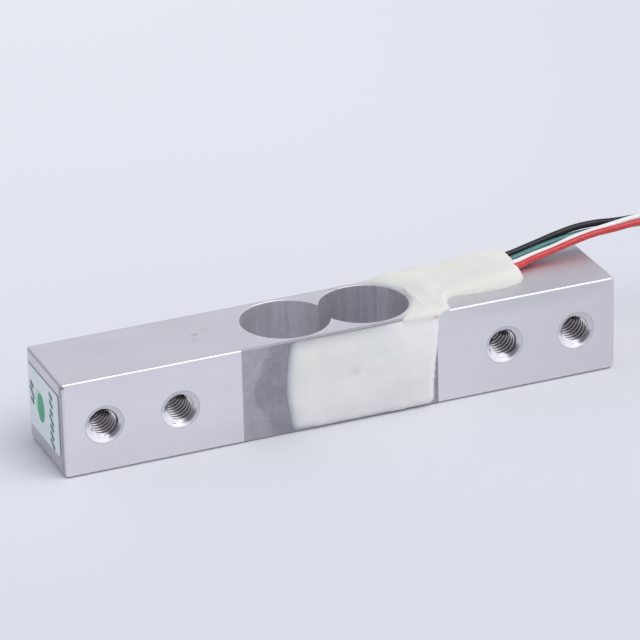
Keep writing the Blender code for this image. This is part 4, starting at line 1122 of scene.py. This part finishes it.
def lumps(spots, size, shift=(0.0, 0.0, 0.0)):
    """Noise at each spot in millimetres, with finer lumps for a larger size."""
    return np.array([noise.noise(Vector(spot) * size + Vector(shift)) for spot in spots])


def silicone_rise(loop, seams):
    """How high the silicone stands at each point: domes with rolled edges, lumps, lead ridges and a fold."""
    free_edge = evenly_spaced(np.concatenate((loop, loop[:1])), EDGE_SAMPLING)
    rear_edge = EDGE_ARC / 2 + TOP_WIDTH
    fold = as_array(smooth_curve(on_front(ARCH), FOLD_STEPS))

    def full_height(x, s, distance, on_faces):
        """Height away from the edges: the crest on top, lower by the rim, and the coats on the faces."""
        crest = np.interp(x, CREST_PLACES, CREST_HEIGHTS)
        coat = (0.5 + 0.12 * soft_step(x, 2.0 * MM, 11.0 * MM)) * MM
        nearer = 1.0 - soft_step(s, 1.5 * MM, 7.0 * MM)
        by_rim = 1.0 - soft_step(x, 12.0 * MM, 16.0 * MM)
        by_edge = (0.3 + 0.2 * soft_step(x, 9.5 * MM, 11.5 * MM)) * MM
        crest = crest + (np.minimum(crest, by_edge) - crest) * nearer * by_rim
        shallow = np.minimum(crest, RIM_CREST)
        crest = shallow + (crest - shallow) * (1 - by_rim * (1 - soft_step(distance, 0.3 * MM, 3.6 * MM)))
        high_up = 1.0 - soft_step(-s, 0.5 * MM, 3.5 * MM)
        coat = coat * (1 - 0.35 * high_up * (1.0 - soft_step(x, 9.5 * MM, 11.5 * MM)))
        return crest * (1 - on_faces) + coat * on_faces

    def roll_width(x, s, left, on_faces):
        """How far the rolled edge reaches inwards."""
        roll_coat = 0.75 * MM + 1.1 * MM * left
        by_leads = soft_step(x, 14.0 * MM, 19.0 * MM) * (1.0 - soft_step(x, 24.5 * MM, 26.5 * MM))
        roll_top = 0.5 * MM + 1.5 * MM * by_leads
        upper = 1.0 - soft_step(-s, 0.5 * MM, 2.5 * MM)
        roll_coat = roll_coat * (1.0 - 0.45 * upper)
        return roll_top * (1 - on_faces) + roll_coat * on_faces

    def rise(flat, faces):
        x, s = flat[:, 0], flat[:, 1]
        distance = distance_to(flat, free_edge)
        down_front = soft_step(-s, 0.2 * MM, 2.4 * MM)
        down_rear = soft_step(s, rear_edge + 0.2 * MM, rear_edge + 2.4 * MM)
        on_faces = np.maximum(down_front, down_rear)
        left = 1.0 - soft_step(x, -6.5 * MM, -3.0 * MM)
        t = np.clip(distance / roll_width(x, s, left, on_faces), 0.0, 1.0)
        power = 0.55 + 0.35 * left * on_faces
        height = full_height(x, s, distance, on_faces) * (1 - (1 - t) ** 2) ** power
        spots = round_bar(x, s, np.zeros(len(x))) / MM
        broad = lumps(spots, 0.45)
        medium = lumps(spots, 1.3, (7.0, 3.0, 1.0))
        small = lumps(spots, 3.0, (1.0, 9.0, 4.0))
        lumpy = (0.11 * broad + 0.07 * medium) * (1 - on_faces) + (0.1 * broad + 0.05 * medium) * on_faces
        height = height * (1 + (lumpy + 0.02 * small) * np.minimum(t * 1.5, 1.0))
        y = spots[:, 1] * MM
        rows = [(LEAD_FIRST_Y + LEAD_STEP_Y * k) * MM for k in range(len(LAYERS))]
        on_lead = sum(np.exp(-(((y - row) / LEAD_RIDGE_WIDTH) ** 2)) for row in rows)
        height += LEAD_RIDGE * on_lead * soft_step(x, 23.0 * MM, 26.3 * MM) * t * (1 - on_faces)
        away = distance_to(flat, fold, closed=False)
        height *= 1 - FOLD_DEPTH * np.exp(-((away / FOLD_WIDTH) ** 2))
        from_seams = np.minimum(*(distance_to(flat, seam, closed=False) for seam in seams))
        free = (distance > FIXED_EDGE) & (from_seams > FIXED_SEAM)
        needed = cover_needed(flat)
        return np.maximum(relaxed(np.maximum(height, needed), faces, free, RELAX_ROUNDS), needed)

    return rise


def buried_places():
    """Points on what lies under the silicone, as x, s and how far each stands off the bar."""
    buried = []
    for name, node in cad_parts.items():
        if not ("gauge_wire" in name or name.endswith(("_link_wire", "_board", "_core"))):
            continue
        corners = [node.matrix_world @ vertex.co for vertex in node.data.vertices]
        places = list(corners)
        for edge in node.data.edges:
            first, second = (corners[k] for k in edge.vertices)
            steps = math.ceil((second - first).length / COVER_SAMPLING)
            places += [first.lerp(second, k / steps) for k in range(1, steps)]
        for x, y, z in places:
            over, out = z - HEIGHT, abs(y) - HALF_WIDTH
            if over > out:
                s = y + HALF_WIDTH - LONG_EDGE_RADIUS + EDGE_ARC / 2
            else:
                s = HEIGHT - LONG_EDGE_RADIUS - z
                s = -s - EDGE_ARC / 2 if y < 0 else s + EDGE_ARC / 2 + TOP_WIDTH + EDGE_ARC
            buried.append((x, s, max(over, out)))
    return buried


def cover_needed(flat):
    """How high the silicone has to stand at each point to bury the wires and the board under it."""
    buried = buried_places()
    tree = kdtree.KDTree(len(buried))
    for k, (x, s, _) in enumerate(buried):
        tree.insert((x, s, 0.0), k)
    tree.balance()
    needed = np.zeros(len(flat))
    for k, (x, s) in enumerate(flat):
        for _, index, distance in tree.find_range((x, s, 0.0), COVER_FAR):
            share = min(1.0, (COVER_FAR - distance) / (COVER_FAR - COVER_NEAR))
            needed[k] = max(needed[k], (buried[index][2] + COVER) * share * share * (3 - 2 * share))
    return needed


def relaxed(height, faces, free, rounds):
    """Heights eased towards their neighbours' mean, apart from the points at the edge."""
    sides = {tuple(sorted(pair)) for face in faces for pair in zip(face, (*face[1:], face[0]))}
    pairs = np.array(sorted(sides))
    degree = np.bincount(pairs.ravel(), minlength=len(height))
    for _ in range(rounds):
        total = np.bincount(pairs[:, 0], height[pairs[:, 1]], len(height))
        total += np.bincount(pairs[:, 1], height[pairs[:, 0]], len(height))
        mean = total / np.maximum(degree, 1)
        height = np.where(free, height * 0.5 + mean * 0.5, height)
    return height


def make_silicone():
    """The three dabs of silicone: over each gauged face, and the bead over the solder board."""
    coat, bead, rear, loop, seams = silicone_outlines()
    rise = silicone_rise(loop, seams)
    for name, outline, node, slot in (
        ("front_silicone", coat, "front_coat", "white_silicone"),
        ("rear_silicone", rear, "rear_coat", "white_silicone"),
        ("top_bead", bead, "wire_bead", "ivory_silicone"),
    ):
        piece = skin(name, outline, SKIN_SPACING, rise, SKIN_SINK, round_bar, silicone(f"{name}_finish"))
        dress(piece, slot, node)


# Sticker


def rounded_rectangle(low, high, corner, steps=8):
    points = []
    for k, (x, y) in enumerate(((high[0], high[1]), (low[0], high[1]), (low[0], low[1]), (high[0], low[1]))):
        inward = Vector((-1.0 if k in (0, 3) else 1.0, -1.0 if k in (0, 1) else 1.0))
        centre = Vector((x, y)) + inward * corner
        for step in range(steps + 1):
            angle = math.pi / 2 * (k + step / steps)
            points.append(centre + corner * Vector((math.cos(angle), math.sin(angle))))
    return as_array([*points, points[0]])


def on_left_end(y, z, rise):
    """Places on the bar's left end face, with the rise outwards."""
    return np.stack([-HALF_LENGTH - STICKER_GLUE - rise, y, z], axis=1)


def make_sticker():
    """Small paper sticker with two plain green dots and two columns of teal strokes."""
    tones = {
        "green_ink": ((0.05, 0.36, 0.2), (0.09, 0.43, 0.26)),
        "pale_green_ink": ((0.42, 0.66, 0.52), (0.5, 0.72, 0.6)),
        "teal_ink": ((0.05, 0.17, 0.16), (0.09, 0.24, 0.22)),
    }
    pale_blue, paler = (0.71, 0.765, 0.785), (0.765, 0.81, 0.825)
    paper = plain_plastic("sticker_paper", pale_blue, paler, 0.55, 0.12 * MM, 0.002 * MM)
    inks = {name: plain_plastic(name, *pair, 0.5, INK_GRAIN, INK_RELIEF) for name, pair in tones.items()}
    low, high = Vector(STICKER_LOW) * MM, Vector(STICKER_HIGH) * MM
    outline = evenly_spaced(rounded_rectangle(low, high, STICKER_CORNER), 0.2 * MM)[:-1]

    def waves(flat, faces):
        spots = [noise.noise(Vector((u * 0.5, v * 0.5, 2.0))) for u, v in flat / MM]
        return STICKER_THICKNESS + STICKER_WAVE * np.array(spots)

    def over(thickness):
        return lambda flat, faces: waves(flat, faces) + thickness

    sticker = skin("end_sticker", outline, STICKER_SPACING, waves, 0.0, on_left_end, paper)
    dress(sticker, "label_paper", "end_label")
    turn = np.linspace(0.0, math.tau, DOT_SIDES, endpoint=False)
    for name, middle, half, thickness, ink in (
        ("pale_dot", PALE_DOT_MIDDLE, PALE_DOT_HALF, INK_THICKNESS, "pale_green_ink"),
        ("green_dot", DOT_MIDDLE, DOT_HALF, 2 * INK_THICKNESS, "green_ink"),
    ):
        dot = np.stack([middle[0] + half[0] * np.cos(turn), middle[1] + half[1] * np.sin(turn)], axis=1) * MM
        mark = skin(name, dot, DOT_SPACING, over(thickness), -STICKER_THICKNESS * 0.5, on_left_end, inks[ink])
        dress(mark, "label_paper")
    sizes = {"Thickness": INK_THICKNESS * 3, "Seed": STROKE_SEED}
    dress(run_tree(stroke_places(), stroke_tree(inks["teal_ink"]), **sizes), "label_paper")


def stroke_places():
    """A point for each teal stroke, in two columns beside the dots."""
    depth = -HALF_LENGTH - STICKER_GLUE - STICKER_THICKNESS
    places = [
        (depth, across * MM, (lowest + step * k) * MM)
        for across, lowest, step, count in STROKE_COLUMNS for k in range(count)
    ]
    mesh = bpy.data.meshes.new("teal_strokes")
    mesh.from_pydata(places, [], [])
    return link_mesh("teal_strokes", mesh)


def stroke_tree(material):
    """Short slanting strokes of ink, one on each point, their slant and length varied a little."""
    tree, size, result = new_tree("label_strokes", {"Thickness": "NodeSocketFloat", "Seed": "NodeSocketInt"})
    box = vector_of(tree, size["Thickness"], STROKE_LENGTH, STROKE_WIDTH)
    stroke = add_node(tree, "GeometryNodeMeshCube", {"Size": box}).outputs["Mesh"]
    turn = vector_of(tree, random_field(tree, 0.35, 0.75, size["Seed"]))
    scale = vector_of(tree, 1.0, random_field(tree, 0.55, 1.15, size["Seed"]), 1.0)
    inputs = {"Points": size["Geometry"], "Instance": stroke, "Rotation": turn, "Scale": scale}
    end_tree(tree, add_node(tree, "GeometryNodeInstanceOnPoints", inputs).outputs[0], material, result[0])
    return tree


# Leads


def hank_path(layer):
    """A lead's way round the hank: flat oval turns, each a pitch wider, ending on the front run."""
    z = HANK_FIRST_LAYER + layer * HANK_PITCH
    points = []
    radius = HANK_INNER_RADIUS
    for turn in range(HANK_TURNS):
        for end in (1, -1):
            for step in range(TURN_STEPS // 2 + 1):
                share = step / (TURN_STEPS // 2)
                angle = math.pi * share - math.pi / 2
                reach = radius + HANK_PITCH / 2 * share
                centre = HANK_MIDDLE + end * HANK_HALF_RUN
                points.append((centre + end * reach * math.cos(angle), end * reach * math.sin(angle), z))
            radius += HANK_PITCH / 2
    return points


def lead_path(name):
    """The whole way of a lead, from under the bead's end through the hank to its bare tip."""
    way = [Vector(point) * MM for point in (*LEAD_ROUTES[name], *DIVES[name])]
    curled = [Vector(point) for point in hank_path(LAYERS.index(name))]
    first, last = curled[0], curled[-1]
    way += [Vector((x, first.y, first.z)) for x in HANK_WAY_IN]
    way += curled
    way += [Vector((x, last.y, last.z)) for x in HANK_WAY_OUT]
    way += [Vector((HANK_EXIT, last.y - HANK_EXIT_SHIFT, last.z))]
    way += [Vector(point) * MM for point in TAILS[name]]
    return evenly_spaced(smooth_curve(way, ROUTE_STEPS), LEAD_SPACING)


def tube_along(tree, curve, radius, sides):
    """A round tube with closed ends along a curve."""
    circle = {"Resolution": sides, "Radius": radius}
    ring = add_node(tree, "GeometryNodeCurvePrimitiveCircle", circle).outputs["Curve"]
    inputs = {"Curve": curve, "Profile Curve": ring, "Fill Caps": True}
    return add_node(tree, "GeometryNodeCurveToMesh", inputs).outputs[0]


def jacket_tree():
    """A round jacket along the base mesh's line."""
    sizes = {"Radius": "NodeSocketFloat", "Sides": "NodeSocketInt", "Finish": "NodeSocketMaterial"}
    tree, size, result = new_tree("lead_jacket", sizes)
    curve = add_node(tree, "GeometryNodeMeshToCurve", {0: size["Geometry"]}).outputs[0]
    end_tree(tree, tube_along(tree, curve, size["Radius"], size["Sides"]), size["Finish"], result[0])
    return tree


def line_mesh(name, points):
    mesh = bpy.data.meshes.new(name)
    mesh.from_pydata([tuple(point) for point in points], [(k, k + 1) for k in range(len(points) - 1)], [])
    return link_mesh(name, mesh)


def strand_tree():
    """Twisted strands along a straight line: one in the middle and the rest wound round it."""
    sizes = {
        "Strand Radius": "NodeSocketFloat", "Circle": "NodeSocketFloat", "Lay": "NodeSocketFloat",
        "Length": "NodeSocketFloat", "Strands": "NodeSocketInt", "Finish": "NodeSocketMaterial",
    }
    tree, size, result = new_tree("bare_strands", sizes)
    line = {"End": vector_of(tree, size["Length"])}
    line = add_node(tree, "GeometryNodeCurvePrimitiveLine", line).outputs[0]
    line = add_node(tree, "GeometryNodeResampleCurve", {"Curve": line, "Count": STRAND_POINTS}).outputs[0]
    angle = position_fields(tree)[0] / size["Lay"] * math.tau
    offset = vector_of(tree, 0.0, angle.put("COSINE") * size["Circle"], angle.put("SINE") * size["Circle"])
    wound = add_node(tree, "GeometryNodeSetPosition", {"Geometry": line, "Offset": offset}).outputs[0]
    outer = tube_along(tree, wound, size["Strand Radius"], STRAND_SIDES)
    middle = tube_along(tree, line, size["Strand Radius"], STRAND_SIDES)
    spots = add_node(tree, "GeometryNodePoints", {"Count": size["Strands"]}).outputs[0]
    index = Field(tree, add_node(tree, "GeometryNodeInputIndex").outputs[0])
    turned = vector_of(tree, index / size["Strands"] * math.tau)
    inputs = {"Points": spots, "Instance": outer, "Rotation": turned}
    copies = add_node(tree, "GeometryNodeInstanceOnPoints", inputs).outputs[0]
    joined = add_node(tree, "GeometryNodeJoinGeometry", {0: copies})
    tree.links.new(middle, joined.inputs[0])
    end_tree(tree, joined.outputs[0], size["Finish"], result[0])
    return tree


def bare_end(name, path, strands, tinned):
    """The twisted strands at the end of a lead's path."""
    tip = link_mesh(f"{name}_bare_end", bpy.data.meshes.new(f"{name}_bare_end"))
    sizes = {
        "Strand Radius": STRAND_RADIUS, "Circle": STRAND_CIRCLE, "Lay": STRAND_LAY,
        "Length": TIP_LENGTH + LEAD_RADIUS, "Strands": STRAND_COUNT, "Finish": tinned,
    }
    run_tree(tip, strands, **sizes)
    onward = Vector(path[-1] - path[-2])
    onward.z = 0.0
    turn = Vector((1.0, 0.0, 0.0)).rotation_difference(onward.normalized()).to_matrix().to_4x4()
    start = Vector(path[-1]) - onward.normalized() * LEAD_RADIUS
    tip.data.transform(Matrix.Translation(start) @ turn)
    return tip


def make_leads(jackets, tinned, band):
    """The four leads, each one tube from the bead to its bare twisted end."""
    tube, strands = jacket_tree(), strand_tree()
    for name, route in LEAD_ROUTES.items():
        path = lead_path(name)
        lead = line_mesh(f"{name}_lead_jacket", path)
        run_tree(lead, tube, Radius=LEAD_RADIUS, Sides=LEAD_SIDES, Finish=jackets[name])
        tip = bare_end(name, path, strands, tinned)
        dress(lead, f"{name}_jacket", f"{name}_lead", f"{name}_lead_tail", "lead_hank")
        dress(tip, "tinned_copper", f"{name}_lead_tip")


def make_band(material):
    """The plastic band round the hank, with rounded edges and a low ridge along its middle."""
    low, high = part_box("hank_tie")
    half = BAND_THICKNESS / 2
    inner, outer = Vector((low.y + half, low.z + half)), Vector((high.y - half, high.z - half))
    outline = rounded_rectangle(inner, outer, BAND_CORNER)[:-1]
    rows = []
    for side in (1, -1):
        for k in range(BAND_ROWS) if side > 0 else reversed(range(BAND_ROWS)):
            share = k / (BAND_ROWS - 1)
            x = low.x + (high.x - low.x) * share
            edge = math.sin(math.pi * share) ** 0.25
            ridge = BAND_RIDGE * math.exp(-(((share - 0.5) / BAND_RIDGE_SHARE) ** 2)) if side > 0 else 0.0
            rows.append((x, side * half * (0.35 + 0.65 * edge) + ridge - BAND_INSET))
    middle = outline.mean(axis=0)
    count = len(outline)
    tangents = np.roll(outline, -1, axis=0) - np.roll(outline, 1, axis=0)
    outward = np.stack([tangents[:, 1], -tangents[:, 0]], axis=1)
    outward /= np.linalg.norm(outward, axis=1)[:, None]
    outward *= np.sign(((outline - middle) * outward).sum(axis=1))[:, None]
    bm = bmesh.new()
    rings = [[bm.verts.new((x, *(outline[k] + outward[k] * rise))) for k in range(count)] for x, rise in rows]
    for first, second in zip(rings, [*rings[1:], rings[0]]):
        for k in range(count):
            after = (k + 1) % count
            bm.faces.new((first[k], first[after], second[after], second[k]))
    bmesh.ops.recalc_face_normals(bm, faces=bm.faces)
    mesh = mesh_of(bm, "hank_band")
    smooth_shading(mesh, 50.0)
    piece = link_mesh("hank_band", mesh, material)
    dress(piece, "tie_band", "hank_tie")
    return piece


def finish_inner_parts(tinned):
    """Materials of the pieces under the silicone: gauges, solder board, fine wires and bare cores."""
    film = plain_plastic("gauge_film_finish", (0.5, 0.22, 0.04), (0.62, 0.33, 0.08), 0.3, 0.2 * MM)
    laminate = plain_plastic("board_finish", (0.03, 0.17, 0.07), (0.05, 0.23, 0.1), 0.4, 0.25 * MM)
    enamel = wire_metal("enamel_finish", (0.55, 0.14, 0.07), (0.4, 0.08, 0.05), 0.28)
    for name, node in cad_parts.items():
        if node.hide_render:
            continue
        if "wire" in name:
            finish = enamel
        elif "gauge" in name:
            finish = film
        elif "board" in name:
            finish = laminate
        else:
            finish = tinned
        node.data.materials.clear()
        node.data.materials.append(finish)


# Studio


def add_lamp():
    """A large soft lamp overhead, towards the front right."""
    data = bpy.data.lights.new("overhead", "AREA")
    data.shape = "RECTANGLE"
    data.size, data.size_y = LAMP_SIZE
    data.energy = LAMP_POWER
    data.color = LAMP_TONE
    lamp = bpy.data.objects.new("overhead", data)
    lamp.location = LAMP_PLACE
    lamp.rotation_mode = "QUATERNION"
    lamp.rotation_quaternion = (-LAMP_PLACE).to_track_quat("-Z", "Y")
    bpy.context.scene.collection.objects.link(lamp)


def set_room():
    """A pale room, darker in two directions, so that the metal has something to mirror."""
    scene = bpy.context.scene
    scene.view_settings.view_transform = "Standard"
    world = bpy.data.worlds.new("studio")
    world.use_nodes = True
    tree = world.node_tree
    way = add_node(tree, "ShaderNodeTexCoord").outputs["Generated"]

    def facing(direction, low, high):
        inputs = {0: way, 1: Vector(direction).normalized()}
        made = add_node(tree, "ShaderNodeVectorMath", inputs, operation="DOT_PRODUCT")
        return Field(tree, made.outputs["Value"]).ramp(low, high)

    level = ROOM_LEVEL - facing((0.34, 0.84, 0.42), 0.3, 0.95) * 0.25
    level = level - facing((-0.64, -0.54, 0.56), 0.6, 0.95) * 0.38
    background = tree.nodes["Background"]
    background.inputs["Color"].default_value = ROOM_TONE
    feed(tree, background.inputs["Strength"], level)
    scene.world = world


def set_floor():
    """A pale floor with painted shade, darker towards the front and the right, and a painted patch of light
    by the bar's left foot that lightens its shadow.
    """
    mesh = bpy.data.meshes.new("floor")
    sides = ((-1, -1), (1, -1), (1, 1), (-1, 1))
    mesh.from_pydata([(x * FLOOR_REACH, y * FLOOR_REACH, FLOOR_LEVEL) for x, y in sides], [], [(0, 1, 2, 3)])
    finish = Finish("floor_paper", (0.65, 0.662, 0.696), Specular_IOR_Level=0.1)
    x, y, _ = finish.axes
    # Painted shade towards the front and the right.
    finish.tint(y.ramp(-0.2, 0.25), (0.81, 0.813, 0.845))
    finish.tint(x.ramp(0.02, 0.14, 0.0, 0.4), (0.61, 0.62, 0.665))
    # Painted light by the left foot, lightening the bar's shadow there.
    finish.tint(finish.spot((-45.0, 4.0, 0.0), (11.0, 22.0, 5.0), 0.8) * 0.3, (0.81, 0.82, 0.865))
    link_mesh("floor", mesh, finish.done(0.85))


def main():
    set_camera()
    tinned = wire_metal("tinned_finish", (0.8, 0.8, 0.79), (0.68, 0.68, 0.67), 0.3)
    jackets = {
        "red": jacket("red_jacket_finish", (0.5, 0.02, 0.024), (0.6, 0.04, 0.045)),
        "white": jacket("white_jacket_finish", (0.8, 0.8, 0.81), (0.84, 0.84, 0.85)),
        "green": jacket("green_jacket_finish", (0.006, 0.115, 0.11), (0.015, 0.165, 0.15), 0.9),
        "black": jacket("black_jacket_finish", (0.003, 0.002, 0.008), (0.008, 0.006, 0.014), 0.0),
    }
    band_plastic = plain_plastic("band_finish", (0.015, 0.015, 0.018), (0.03, 0.03, 0.034), 0.42, 0.15 * MM)
    make_leads(jackets, tinned, make_band(band_plastic))
    make_bar()
    make_silicone()
    make_sticker()
    finish_inner_parts(tinned)
    set_room()
    set_floor()
    add_lamp()


main()
